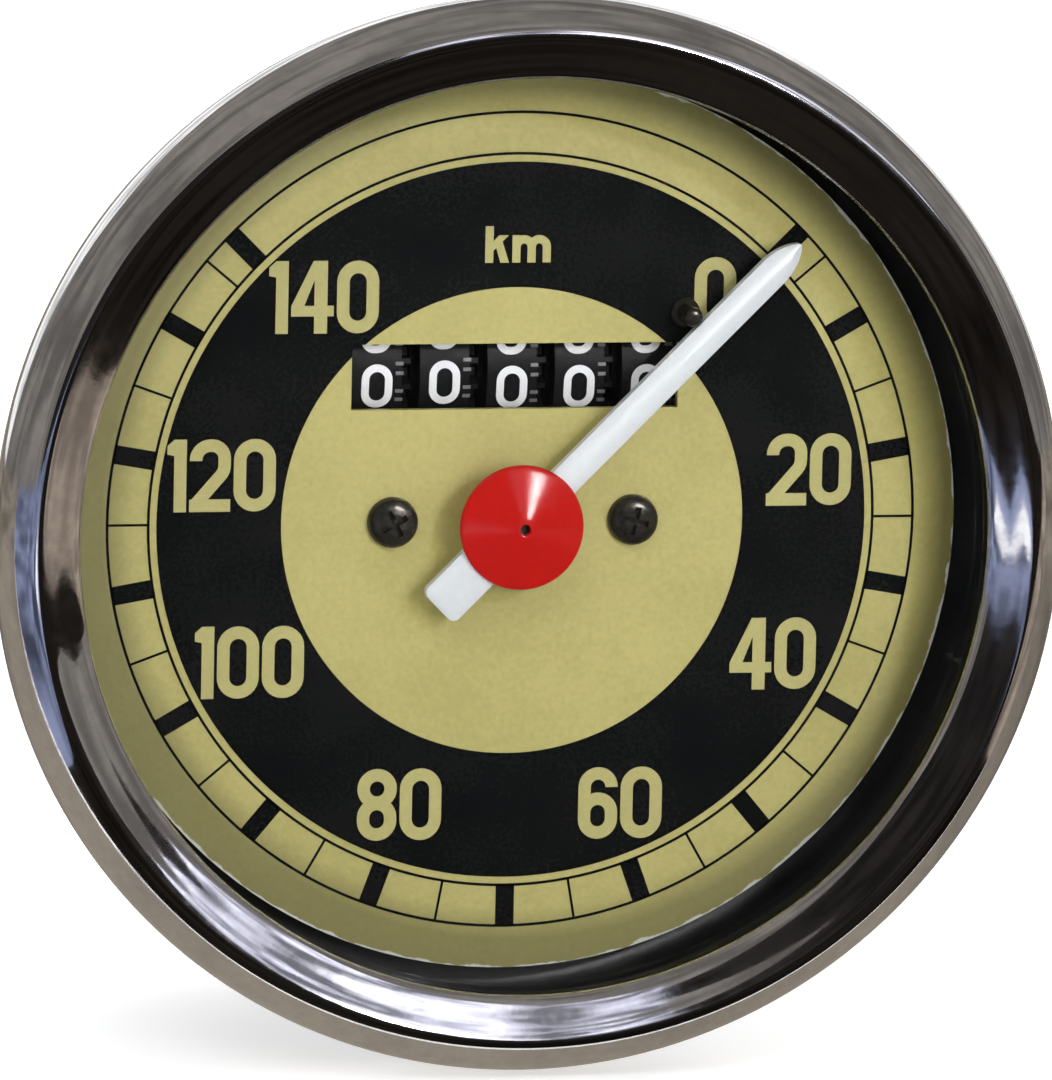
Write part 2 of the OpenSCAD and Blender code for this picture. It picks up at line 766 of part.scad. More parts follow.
module pointer_arbor() {
    color(steel) stand_up() {
        bar(arbor_r, cup_floor, arbor_front);
        bar(pivot_r, magnet_front - pivot_depth + end_play, cup_floor);
    }
}

module speed_cup() {
    color(aluminium) stand_up() {
        ring(cup_in, cup_out, flux_floor + air_gap, cup_floor);
        ring(arbor_r, cup_out, cup_floor, cup_front);
        ring(arbor_r, cup_hub_r, cup_front, cup_hub_front);
    }
}

module hairspring_collet() {
    color(brass) stand_up() ring(arbor_r, collet_r, collet_rear, collet_rear + anchor_t);
}

// Hairspring and its anchor

module hairspring() {
    last = spring_turns * spring_steps;
    start = anchor_angle - spring_turns * 360;
    turn = [for (i = [0 : last]) 360 * i / spring_steps];
    color(steel) stand_up() translate([0, 0, spring_rear]) linear_extrude(height = spring_w)
        polygon(concat(
            [for (i = [0 : last]) polar(spiral(turn[i]), start + turn[i])],
            [for (i = [last : -1 : 0]) polar(spiral(turn[i]) + spring_t, start + turn[i])]
        ));
}

module hairspring_arm() {
    pillar_away = norm([pillar_x, pillar_drop]);
    color(brass) stand_up() translate([0, 0, collet_rear]) difference() {
        rotate(anchor_angle) {
            block([anchor_in, -anchor_w / 2, 0], [pillar_away, anchor_w / 2, anchor_t]);
            translate([pillar_away, 0]) bar(pillar_r + clamp_wall, 0, anchor_t);
        }
        rotate(anchor_angle) translate([pillar_away, 0]) drill(pillar_r, 0, anchor_t);
    }
}

// Spindle body

module drive_spindle() {
    color(steel) stand_up() difference() {
        bar(spindle_r, bush_rear, magnet_front);
        block([-socket_w / 2, -socket_w / 2, bush_rear - cut],
              [socket_w / 2, socket_w / 2, bush_rear + socket_depth]);
        bar(pivot_r + running, magnet_front - pivot_depth, magnet_front + cut);
    }
}

module spindle_worm() {
    half = worm_len / 2;
    color(brass) stand_up() translate([0, 0, cross_z])
        worm(spindle_worm_r, spindle_r, 90,
             cross_z - half - bush_front - end_play, flux_rear - cross_z - half);
}

module magnet() {
    color(black) stand_up() ring(spindle_r, magnet_r, flux_floor, magnet_front);
}

module flux_cup() {
    color(steel) stand_up() {
        ring(spindle_r, flux_out, flux_rear, flux_floor);
        ring(flux_in, flux_out, flux_floor, magnet_front);
    }
}

// Worm train

module cross_shaft() {
    color(steel) stand_up() translate([0, cross_y, cross_z]) along_x()
        bar(train_shaft_r, -lug_reach, lug_right + lug_w);
}

module cross_wheel() {
    color(brass) stand_up() translate([0, cross_y, cross_z]) along_x()
        worm_wheel(teeth_cross, train_shaft_r, -90, lug_w + end_play - lug_reach);
}

module cross_worm() {
    color(brass) stand_up() translate([lift_x, cross_y, cross_z]) along_x()
        worm(cross_worm_r, train_shaft_r, -90);
}

module lift_shaft() {
    color(steel) stand_up() translate([lift_x, lift_y]) bar(train_shaft_r, lift_foot, bridge_front);
}

module lift_wheel() {
    color(brass) stand_up() translate([lift_x, lift_y, cross_z])
        worm_wheel(teeth_lift, train_shaft_r, 90, wheel_w / 2 + wheel_hub);
}

module lift_worm() {
    color(brass) stand_up() translate([lift_x, lift_y, drum_z]) worm(lift_worm_r, train_shaft_r, 90);
}

// Counter

// Two teeth on the locking disc that carry one step to the next drum
module carry_teeth() {
    for (side = [-1, 1]) rotate(-90 + side * 180 / drum_teeth)
        block([lock_r - cut, -transfer_m / 2, 0], [drum_gear_r + transfer_m, transfer_m / 2, lock_w]);
}

module number_drum(k) {
    edge = band_w / 2;
    end = (k == 1) ? wheel_left - drum_x(1) : edge + transfer_w;
    color(black) stand_up() translate([drum_x(k), window_y, drum_z]) along_x() difference() {
        union() {
            bar(drum_r, -edge, edge);
            if (k == 1) bar(sleeve_r, edge, end);
            if (k > 1) translate([0, 0, edge]) linear_extrude(height = transfer_w)
                rotate(pinion_angle + 180 / drum_teeth)
                    toothed(drum_teeth, transfer_m, transfer_foot, transfer_tooth);
            if (k < drum_count) translate([0, 0, -edge - lock_w]) {
                bar(lock_r, 0, lock_w);
                carry_teeth();
            }
        }
        drill(counter_shaft_r + running, -edge - lock_w, end);
    }
}

module digit_drum_1() { number_drum(1); }
module digit_drum_2() { number_drum(2); }
module digit_drum_3() { number_drum(3); }
module digit_drum_4() { number_drum(4); }
module digit_drum_5() { number_drum(5); }

module drum_wheel() {
    color(brass) stand_up() translate([lift_x, window_y, drum_z]) along_x()
        worm_wheel(teeth_drum, counter_shaft_r + running, -90, 0);
}

// Pinion between drum k and the next drum on its left
module pinion(k) {
    middle = (drum_x(k) + drum_x(k + 1)) / 2;
    color(brass) stand_up() translate([middle, pinion_y, pinion_z]) along_x() difference() {
        linear_extrude(height = pinion_w, center = true) rotate(pinion_angle + 180)
            toothed(pinion_teeth, transfer_m, transfer_foot, transfer_tooth);
        drill(pinion_shaft_r + running, -pinion_w / 2, pinion_w / 2);
    }
}

module transfer_pinion_1() { pinion(1); }
module transfer_pinion_2() { pinion(2); }
module transfer_pinion_3() { pinion(3); }
module transfer_pinion_4() { pinion(4); }

module odometer_shaft() {
    color(steel) stand_up() translate([0, window_y, drum_z]) along_x()
        bar(counter_shaft_r, cheek_left, frame_right);
}

module pinion_shaft() {
    color(steel) stand_up() translate([0, pinion_y, pinion_z]) along_x()
        bar(pinion_shaft_r, cheek_left, frame_right);
}

// Places of the two screws in the feet of the counter frame
module foot_screw_places() {
    inset = counter_sheet + (foot_len - counter_sheet) / 2;
    for (x = [cheek_left + inset, frame_right - inset]) translate([x, leg_y + leg_w / 2]) children();
}

module odometer_frame() {
    leg_top = leg_y + leg_w;
    foot_top = base_top + counter_sheet;
    color(zinc) stand_up() difference() {
        union() {
            for (x = [cheek_left, cheek_right]) {
                block([x, cheek_bottom, web_rear], [x + counter_sheet, cheek_top, cheek_front]);
                block([x, leg_y, base_top], [x + counter_sheet, leg_top, web_rear]);
            }
            block([cheek_left, web_bottom, web_rear], [frame_right, cheek_top, web_front]);
            block([cheek_left, leg_y, base_top], [cheek_left + foot_len, leg_top, foot_top]);
            block([frame_right - foot_len, leg_y, base_top], [frame_right, leg_top, foot_top]);
        }
        translate([0, window_y, drum_z]) along_x() drill(counter_shaft_r, cheek_left, frame_right);
        translate([0, pinion_y, pinion_z]) along_x() drill(pinion_shaft_r, cheek_left, frame_right);
        foot_screw_places() drill(foot_screw_r, base_top, foot_top);
    }
}

module odometer_frame_screws() {
    color(steel) stand_up() foot_screw_places() translate([0, 0, base_top + counter_sheet])
        screw(foot_screw_r, counter_sheet + base_t * screw_reach, foot_screw_r + screw_head_w, screw_head_h);
}

// Movement frame

// Places of the three screws that hold the base in the case
module base_screw_ring() {
    for (a = base_screw_angles) rotate(a) translate([base_screw_ring, 0]) children();
}

// Place of the lamp
module lamp_place() {
    translate(polar(lamp_ring, lamp_angle)) children();
}

module movement_base() {
    lug_top = cross_z + lug_half;
    color(zinc) stand_up() difference() {
        union() {
            bar(base_r, floor_z, base_top);
            for (x = [-lug_reach, lug_right])
                block([x, cross_y - lug_half, base_top], [x + lug_w, cross_y + lug_half, lug_top]);
        }
        drill(bush_r, floor_z, base_top);
        translate([0, cross_y, cross_z]) along_x()
            drill(train_shaft_r + running, -lug_reach, lug_right + lug_w);
        translate([lift_x, lift_y]) bar(train_shaft_r + running, lift_foot - end_play, base_top + cut);
        both_sides(pillar_x, -pillar_drop)
            bar(pillar_r - pillar_shoulder, base_top - pillar_foot, base_top + cut);
        both_sides(stud_x) drill(stud_head_r + base_relief, floor_z, base_top);
        base_screw_ring() drill(base_screw_r, floor_z, base_top);
        foot_screw_places() bar(foot_screw_r, base_top - base_t * screw_reach, base_top + cut);
        lamp_place() drill(lamp_r + base_relief, floor_z, base_top);
    }
}

module neck_sleeve() {
    color(zinc) stand_up() difference() {
        union() {
            bar(neck_r, neck_rear, shoulder_z);
            bar(spigot_r, shoulder_z, floor_z);
        }
        drill(bush_r, bush_rear, floor_z);
        bar(ferrule_r, neck_rear - cut, bush_rear);
    }
}

module base_screws() {
    color(steel) stand_up() base_screw_ring() translate([0, 0, case_rear]) mirror([0, 0, 1])
        screw(base_screw_r, case_wall + base_t * screw_reach, base_screw_r + screw_head_w, screw_head_h);
}

module spindle_bush() {
    color(brass) stand_up() {
        ring(spindle_r + running, bush_r, bush_rear, base_top);
        ring(spindle_r + running, bush_r + bush_collar_w, base_top, bush_front);
    }
}

module frame_pillars() {
    color(steel) stand_up() both_sides(pillar_x, -pillar_drop) difference() {
        union() {
            bar(pillar_r, base_top, bridge_rear);
            bar(pillar_r - pillar_shoulder, base_top - pillar_foot, base_top);
        }
        bar(bridge_screw_r, bridge_rear - bridge_thread, bridge_rear + cut);
    }
}

module bridge_plate() {
    ear_r = train_shaft_r + lug_wall;
    wide = pillar_x + pillar_r + bridge_margin;
    narrow = dial_screw_x + boss_r + bridge_margin;
    low = -pillar_drop - pillar_r - bridge_margin;
    crossbar = -pillar_drop + pillar_r + bridge_margin;
    top = window_y - drum_r;
    color(zinc) stand_up() difference() {
        union() {
            block([-wide, low, bridge_rear], [wide, crossbar, bridge_front]);
            block([-narrow, low, bridge_rear], [narrow, top, bridge_front]);
            block([0, low, bridge_rear], [lift_x + ear_r, lift_y, bridge_front]);
            translate([lift_x, lift_y]) bar(ear_r, bridge_rear, bridge_front);
            both_sides(dial_screw_x) bar(boss_r, bridge_front, dial_rear);
        }
        drill(arbor_bush_r, bridge_rear, bridge_front);
        translate([lift_x, lift_y]) drill(train_shaft_r + running, bridge_rear, bridge_front);
        both_sides(dial_screw_x) drill(dial_screw_r, bridge_rear, dial_rear);
        both_sides(pillar_x, -pillar_drop) drill(bridge_screw_r, bridge_rear, bridge_front);
    }
}

module bridge_screws() {
    color(steel) stand_up() both_sides(pillar_x, -pillar_drop) translate([0, 0, bridge_front])
        screw(bridge_screw_r, bridge_t + bridge_thread * screw_reach,
              bridge_screw_r + screw_head_w, screw_head_h);
}

module arbor_bush() {
    color(brass) stand_up() ring(arbor_r + running, arbor_bush_r, bridge_rear - arbor_bush_tail, dial_rear);
}

// Rear fittings

module mounting_studs() {
    color(steel) stand_up() both_sides(stud_x) {
        bar(stud_r, case_rear - stud_len, shoulder_z);
        bar(shank_r, shoulder_z, floor_z);
        bar(stud_head_r, floor_z, floor_z + stud_head_t);
    }
}

module lamp_holder() {
    color(black) stand_up() lamp_place() difference() {
        union() {
            bar(lamp_r, case_rear, lamp_front);
            bar(lamp_r + lamp_flange_w, case_rear - lamp_flange_t, case_rear);
            bar(lamp_r - lamp_step, lamp_rear, case_rear - lamp_flange_t);
        }
        bar(bulb_r - bulb_step, lamp_front - bulb_seat, lamp_front + cut);
    }
}

module lamp_bulb() {
    seat = lamp_front - bulb_seat;
    dome = seat + bulb_len - bulb_r;
    color(glass) stand_up() lamp_place() {
        bar(bulb_r - bulb_step, seat, lamp_front + bulb_neck);
        bar(bulb_r, lamp_front + bulb_neck, dome);
        translate([0, 0, dome]) sphere(r = bulb_r);
    }
}

module lamp_terminal() {
    color(brass) stand_up() lamp_place()
        block([-terminal_w / 2, -terminal_t / 2, lamp_rear - terminal_len],
              [terminal_w / 2, terminal_t / 2, lamp_rear]);
}

case_shell();
bezel_ring();
lens_glass();
lens_seal();
lens_gasket();
dial_plate();
dial_screws();
stop_pin();
movement_base();
neck_sleeve();
base_screws();
spindle_bush();
frame_pillars();
bridge_plate();
bridge_screws();
arbor_bush();
hairspring();
hairspring_arm();
odometer_frame();
odometer_frame_screws();
odometer_shaft();
pinion_shaft();
mounting_studs();
lamp_holder();
lamp_bulb();
lamp_terminal();
pointer();
pointer_cap();
pointer_arbor();
speed_cup();
hairspring_collet();
drive_spindle();
spindle_worm();
magnet();
flux_cup();
cross_shaft();
cross_wheel();
cross_worm();
lift_shaft();
lift_wheel();
lift_worm();
digit_drum_1();
digit_drum_2();
digit_drum_3();
digit_drum_4();
digit_drum_5();
drum_wheel();
transfer_pinion_1();
transfer_pinion_2();
transfer_pinion_3();
transfer_pinion_4();
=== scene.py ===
"""Looks of a round panel speedometer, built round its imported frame.

Lengths in the classes are millimetres as the reader of the dial sees them: x to the right, y up, z out of
the dial. The world has +Y from the dial into the panel and +Z up, so a reader's point (x, y, z) lies at
(x, -z, y) in metres. The studio's lamps and cards are placed in world metres.
"""
import json
import logging
import math
from dataclasses import dataclass, field
from enum import Enum, IntEnum
from typing import Callable, Sequence

import bpy
from mathutils import Matrix, Vector

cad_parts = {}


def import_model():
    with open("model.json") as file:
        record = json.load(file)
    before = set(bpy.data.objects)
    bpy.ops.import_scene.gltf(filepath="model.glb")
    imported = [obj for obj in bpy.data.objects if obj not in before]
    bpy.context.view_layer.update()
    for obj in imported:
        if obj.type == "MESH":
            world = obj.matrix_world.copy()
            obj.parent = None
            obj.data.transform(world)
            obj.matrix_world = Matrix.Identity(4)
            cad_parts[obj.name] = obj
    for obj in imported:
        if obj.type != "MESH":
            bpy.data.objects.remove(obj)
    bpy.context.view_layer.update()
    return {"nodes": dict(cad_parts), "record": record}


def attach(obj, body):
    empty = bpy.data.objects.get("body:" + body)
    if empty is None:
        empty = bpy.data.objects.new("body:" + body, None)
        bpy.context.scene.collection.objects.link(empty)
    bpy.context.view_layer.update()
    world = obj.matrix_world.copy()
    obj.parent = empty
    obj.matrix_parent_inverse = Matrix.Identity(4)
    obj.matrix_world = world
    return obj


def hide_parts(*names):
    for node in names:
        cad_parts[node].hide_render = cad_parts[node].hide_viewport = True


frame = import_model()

LOG = logging.getLogger("speedometer")
MM = 0.001
# Points of a mesh nearer than this many metres are one point.
MELT = 1e-7
# Points of a drawn line nearer than this many millimetres are one point.
TOUCH = 1e-4
# Millimetres by which a cutter stands past what it cuts.
CLEAR = 1.0
WHITE = (1.0, 1.0, 1.0, 1.0)
Flat = tuple[float, float]
Triple = tuple[float, float, float]
Quad = tuple[float, float, float, float]
Point = Triple
Colour = Triple
Profile = tuple[Flat, ...]
Piece = bpy.types.Object
Socket = bpy.types.NodeSocket


def world(x: float, y: float, z: float) -> Vector:
    """Turn a reader's point in millimetres into a world point in metres."""
    return Vector((x, -z, y)) * MM


def polar(radius: float, angle: float) -> Flat:
    """Give the point at a radius and an angle in degrees, counter-clockwise from the right."""
    return radius * math.cos(math.radians(angle)), radius * math.sin(math.radians(angle))


def fan(centre: Flat, radius: float, angles: Sequence[float]) -> list[Flat]:
    """Give the points at one radius from a centre and at some angles."""
    return [(centre[0] + dx, centre[1] + dy) for dx, dy in (polar(radius, a) for a in angles)]


def arc(centre: Flat, radius: float, start: float, stop: float, steps: int) -> list[Flat]:
    """Sample an arc from one angle to another in a number of chords."""
    return fan(centre, radius, [start + (stop - start) * i / steps for i in range(steps + 1)])


def slit(centre: Flat, radius: float, half: float, turn: float) -> list[Flat]:
    """Give the corners of a driver's slot, each end of which spans half an angle to both sides."""
    return fan(centre, radius, [turn + s for s in (-half, half, 180 - half, 180 + half)])


def oblong(left: float, low: float, right: float, top: float) -> list[Flat]:
    """Give the corners of an upright rectangle, counter-clockwise from the lower left."""
    return [(left, low), (right, low), (right, top), (left, top)]


def lifted(profile: Sequence[Flat], level: float) -> list[Flat]:
    """Raise a profile of radii and heights to a level."""
    return [(radius, level + height) for radius, height in profile]


def soften(points: Sequence[Flat], rounds: int = 3) -> list[Flat]:
    """Smooth an open line by cutting its corners again and again.

    Args:
        points: The line, whose two ends stay.
        rounds: Number of passes.

    Returns:
        The smooth line.
    """
    line = list(points)
    for _ in range(rounds):
        cut = [line[0]]
        for (ax, ay), (bx, by) in zip(line, line[1:]):
            cut += [((3 * ax + bx) / 4, (3 * ay + by) / 4), ((ax + 3 * bx) / 4, (ay + 3 * by) / 4)]
        line = cut + [line[-1]]
    return line


def rounded(points: Sequence[Flat], radius: float, closed: bool = False, steps: int = 7) -> list[Flat]:
    """Replace the corners of a line by arcs.

    Args:
        points: Corners of the line.
        radius: Radius wanted at each corner, less where the line is too short for it.
        closed: Whether the last point joins the first.
        steps: Number of chords in each arc.

    Returns:
        The line with round corners.
    """
    line: list[Flat] = []
    count = len(points)
    for i, here in enumerate(points):
        corner = Vector(here)
        if not closed and i in (0, count - 1):
            line.append(here)
            continue
        sides = [Vector(points[i - 1]) - corner, Vector(points[(i + 1) % count]) - corner]
        spare = [1.0 if not closed and k in (0, count - 1) else 0.5 for k in (i - 1, i + 1)]
        half = sides[0].angle(sides[1]) / 2
        cut = min(radius / math.tan(half), *(s.length * share for s, share in zip(sides, spare)))
        first, last = (s.normalized() * cut for s in sides)
        middle = (first + last).normalized() * cut / math.cos(half)
        spoke, end = first - middle, last - middle
        sweep = math.copysign(math.pi - 2 * half, spoke.x * end.y - spoke.y * end.x)
        for k in range(steps + 1):
            turn = Matrix.Rotation(sweep * k / steps, 2)
            line.append(tuple(corner + middle + turn @ spoke))
    tidy = [line[0]]
    for point in line[1:]:
        if math.dist(point, tidy[-1]) > TOUCH:
            tidy.append(point)
    if closed and math.dist(tidy[0], tidy[-1]) < TOUCH:
        tidy.pop()
    return tidy


class Joint(Enum):
    """How a tool changes the piece that it meets."""

    ADD = "UNION"
    CUT = "DIFFERENCE"


class Facets(IntEnum):
    """How many facets a turned piece has round its axis."""

    BEZEL = 192
    PRINT = 180
    CASE = 160
    GLASS = 128
    LAMP = 120
    CAP = 96
    NECK = 72
    DRILL = 48
    SCREW = 40
    POST = 32


class Bench:
    """Modelling steps, each on one piece that then sits at the origin with its place in its mesh."""

    @staticmethod
    def pick(*pieces: Piece) -> None:
        """Select these pieces alone and make the first one active.

        Args:
            pieces: What to select.
        """
        bpy.ops.object.select_all(action="DESELECT")
        for piece in pieces:
            piece.select_set(True)
        bpy.context.view_layer.objects.active = pieces[0] if pieces else None

    @staticmethod
    def call(piece: Piece, name: str) -> Piece:
        """Name a piece and its mesh."""
        piece.name = piece.data.name = name
        return piece

    @staticmethod
    def trace(points: Sequence[Vector], name: str = "") -> None:
        """Add a plane, melt it to a point and pull a line of edges from it.

        Args:
            points: World points of the line.
            name: Name of a new piece, or nothing to go on with the open one.
        """
        if name:
            Bench.pick()
        bpy.ops.mesh.primitive_plane_add(size=MM)
        if name:
            Bench.call(bpy.context.object, name)
            bpy.ops.object.mode_set(mode="EDIT")
        bpy.ops.mesh.merge(type="CENTER")
        bpy.ops.transform.translate(value=points[0])
        for here, there in zip(points, points[1:]):
            bpy.ops.mesh.extrude_vertices_move(TRANSFORM_OT_translate={"value": there - here})

    @staticmethod
    def close() -> Piece:
        """Merge doubles, turn the faces outwards and leave edit mode.

        Returns:
            The piece that was open.
        """
        bpy.ops.mesh.select_all(action="SELECT")
        bpy.ops.mesh.remove_doubles(threshold=MELT)
        bpy.ops.mesh.normals_make_consistent(inside=False)
        bpy.ops.object.mode_set(mode="OBJECT")
        return bpy.context.object

    @staticmethod
    def lathe(name: str, profile: Sequence[Flat], facets: Facets, centre: Flat = (0.0, 0.0)) -> Piece:
        """Spin a line about an axis that points at the reader.

        Args:
            name: Name of the piece.
            profile: Points of radius and height.
            facets: Number of facets round the axis.
            centre: Place of the axis.

        Returns:
            The turned piece, with smooth shading.
        """
        x, y = centre
        Bench.trace([world(x + r, y, z) for r, z in profile], name)
        bpy.ops.mesh.select_all(action="SELECT")
        bpy.ops.mesh.spin(steps=facets, angle=math.tau, center=world(x, y, 0), axis=(0, 1, 0))
        return Bench.smooth(Bench.close())

    @staticmethod
    def plate(name: str, loops: Sequence[Sequence[Flat]], back: float, front: float) -> Piece:
        """Fill one loop, or the strip between two, and give it thickness.

        Args:
            name: Name of the piece.
            loops: One outline, or an outer and an inner one with as many points.
            back: Height of the rear face.
            front: Height of the front face.

        Returns:
            The plate.
        """
        for number, loop in enumerate(loops):
            Bench.trace([world(x, y, front) for x, y in (*loop, loop[0])], "" if number else name)
        bpy.ops.mesh.select_all(action="SELECT")
        bpy.ops.mesh.remove_doubles(threshold=MELT)
        if len(loops) == 1:
            bpy.ops.mesh.edge_face_add()
        else:
            bpy.ops.mesh.bridge_edge_loops()
        bpy.ops.mesh.select_all(action="SELECT")
        bpy.ops.mesh.extrude_region_move(TRANSFORM_OT_translate={"value": world(0, 0, back - front)})
        return Bench.close()

    @staticmethod
    def smooth(piece: Piece, angle: float = 32.0) -> Piece:
        """Shade a piece smooth, apart from its sharp edges.

        Args:
            piece: The piece.
            angle: Degrees past which an edge stays sharp.

        Returns:
            The same piece.
        """
        Bench.pick(piece)
        bpy.ops.object.shade_smooth_by_angle(angle=math.radians(angle))
        return piece

    @staticmethod
    def boolean(body: Piece, tool: Piece, joint: Joint) -> Piece:
        """Join a tool to a body or cut it out, and remove the tool.

        Args:
            body: The piece that stays.
            tool: The piece that is used up.
            joint: What the tool does.

        Returns:
            The body.
        """
        Bench.pick(body)
        step = body.modifiers.new("joint", "BOOLEAN")
        step.operation, step.solver, step.object = joint.value, "EXACT", tool
        bpy.ops.object.modifier_apply(modifier=step.name)
        bpy.data.objects.remove(tool)
        return body

    @staticmethod
    def raise_face(piece: Piece, level: float, height: float, inward: Callable[[float, float], Flat]) -> None:
        """Raise the face of a plate, with a slope all round it.

        Args:
            piece: The plate.
            level: Height of its front face.
            height: Height of the slope.
            inward: Moves a point of the face's edge to the edge of the raised face.
        """
        Bench.pick(piece)
        bpy.context.tool_settings.mesh_select_mode = (False, False, True)
        mesh = piece.data
        for group in (mesh.vertices, mesh.edges, mesh.polygons):
            group.foreach_set("select", [False] * len(group))
        for face in mesh.polygons:
            face.select = abs(face.center.y + level * MM) < MELT and abs(face.normal.y) > 0.9
        bpy.ops.object.mode_set(mode="EDIT")
        bpy.ops.mesh.extrude_region_move(TRANSFORM_OT_translate={"value": world(0, 0, height)})
        bpy.context.tool_settings.mesh_select_mode = (True, False, False)
        bpy.ops.object.mode_set(mode="OBJECT")
        for vertex in mesh.vertices:
            if abs(vertex.co.y + (level + height) * MM) < MELT:
                vertex.co = world(*inward(vertex.co.x / MM, vertex.co.z / MM), level + height)

    @staticmethod
    def squeeze(piece: Piece, centre: Flat, kept: Callable[[float, float, float], float]) -> Piece:
        """Move the points of a turned piece towards its axis.

        Args:
            piece: The piece.
            centre: Place of the axis.
            kept: Gives the share of its radius that a point keeps, from its radius, turn and height.

        Returns:
            The same piece.
        """
        axis = world(*centre, 0)
        for vertex in piece.data.vertices:
            x, z = vertex.co.x - axis.x, vertex.co.z - axis.z
            share = kept(math.hypot(x, z) / MM, math.atan2(z, x) / math.tau, -vertex.co.y / MM)
            if share < 1:
                vertex.co.x, vertex.co.z = axis.x + x * share, axis.z + z * share
        return piece

    @staticmethod
    def put(piece: Piece, place: Matrix) -> Piece:
        """Move a piece and apply the move to its mesh.

        Args:
            piece: The piece.
            place: World matrix of the move.

        Returns:
            The same piece.
        """
        Bench.pick(piece)
        piece.matrix_world = place
        bpy.ops.object.transform_apply(location=True, rotation=True, scale=True)
        return piece

    @staticmethod
    def copy(piece: Piece, place: Matrix) -> Piece:
        """Copy a piece with its own mesh to another place.

        Args:
            piece: The piece to copy.
            place: World matrix of the copy.

        Returns:
            The copy.
        """
        Bench.pick(piece)
        bpy.ops.object.duplicate(linked=False)
        return Bench.put(bpy.context.object, place)

    @staticmethod
    def join(name: str, pieces: Sequence[Piece]) -> Piece:
        """Join pieces into one.

        Args:
            name: Name of the whole.
            pieces: What to join.

        Returns:
            The whole.
        """
        Bench.pick(*pieces)
        bpy.ops.object.join()
        return Bench.call(bpy.context.object, name)


class Graph:
    """The node tree of a material or of the world, with one call for each node."""

    def __init__(self, owner: bpy.types.ID) -> None:
        """Start an empty tree.

        Args:
            owner: The material or world that the tree is for.
        """
        owner.use_nodes = True
        self.owner = owner
        self.tree = owner.node_tree
        self.tree.nodes.clear()

    def node(self, kind: str, inputs: dict, **settings: str) -> bpy.types.Node:
        """Add a node.

        Args:
            kind: Type of the node, without its prefix.
            inputs: Value or source socket for each input, by name or number.
            settings: Properties of the node.

        Returns:
            The node.
        """
        node = self.tree.nodes.new("ShaderNode" + kind)
        for key, value in settings.items():
            setattr(node, key, value)
        for key, value in inputs.items():
            if isinstance(value, Socket):
                self.tree.links.new(value, node.inputs[key])
            else:
                node.inputs[key].default_value = value
        return node

    def place(self) -> Socket:
        """Give the piece's own coordinates."""
        return self.node("TexCoord", {}).outputs["Object"]

    def noise(self, vector: Socket, scale: float, detail: float = 3.0) -> Socket:
        """Give a noise of some scale per metre and a number of octaves."""
        return self.node("TexNoise", {"Vector": vector, "Scale": scale, "Detail": detail}).outputs[0]

    def span(self, value: Socket, old: Flat, new: Flat) -> Socket:
        """Map a value from one range to another, with its ends held."""
        return self.node("MapRange", {0: value, 1: old[0], 2: old[1], 3: new[0], 4: new[1]}).outputs[0]

    def combine(self, operation: str, first: Socket, last: Socket) -> Socket:
        """Join two values by an operation such as ADD."""
        return self.node("Math", {0: first, 1: last}, operation=operation).outputs[0]

    def blend(self, share: Socket, first: Socket | Colour, last: Socket | Colour) -> Socket:
        """Mix two colours by the share of the last one."""
        pair = [c if isinstance(c, Socket) else (*c, 1.0) for c in (first, last)]
        return self.node("Mix", {0: share, 6: pair[0], 7: pair[1]}, data_type="RGBA").outputs[2]

    def rays(self, *flags: str) -> Socket:
        """Tell whether a ray is of one of some kinds.

        Args:
            flags: Names of the kinds, as on the Light Path node.

        Returns:
            One where the ray is of such a kind, else zero.
        """
        path = self.node("LightPath", {}).outputs
        seen = path[flags[0]]
        for flag in flags[1:]:
            seen = self.combine("MAXIMUM", seen, path[flag])
        return seen

    def end(self, shader: bpy.types.Node, kind: str = "OutputMaterial") -> bpy.types.ID:
        """Add the output and give what the tree is for."""
        self.node(kind, {"Surface": shader.outputs[0]})
        return self.owner


class Grain(Enum):
    """How the fine pattern of a finish is drawn out along x, depth and height."""

    EVEN = (1.0, 1.0, 1.0)
    ROLLED = (0.06, 1.0, 1.0)
    DRAWN = (1.0, 0.05, 1.0)


@dataclass(frozen=True)
class Surface:
    """A named finish, whose material is made once."""

    name: str

    def material(self) -> bpy.types.Material:
        """Give the material, which is made at the first call."""
        made = bpy.data.materials.get(self.name)
        return made or self.make(Graph(bpy.data.materials.new(self.name)))

    def make(self, graph: Graph) -> bpy.types.Material:
        """Fill the tree of a new material, each kind of finish in its own way."""
        raise NotImplementedError


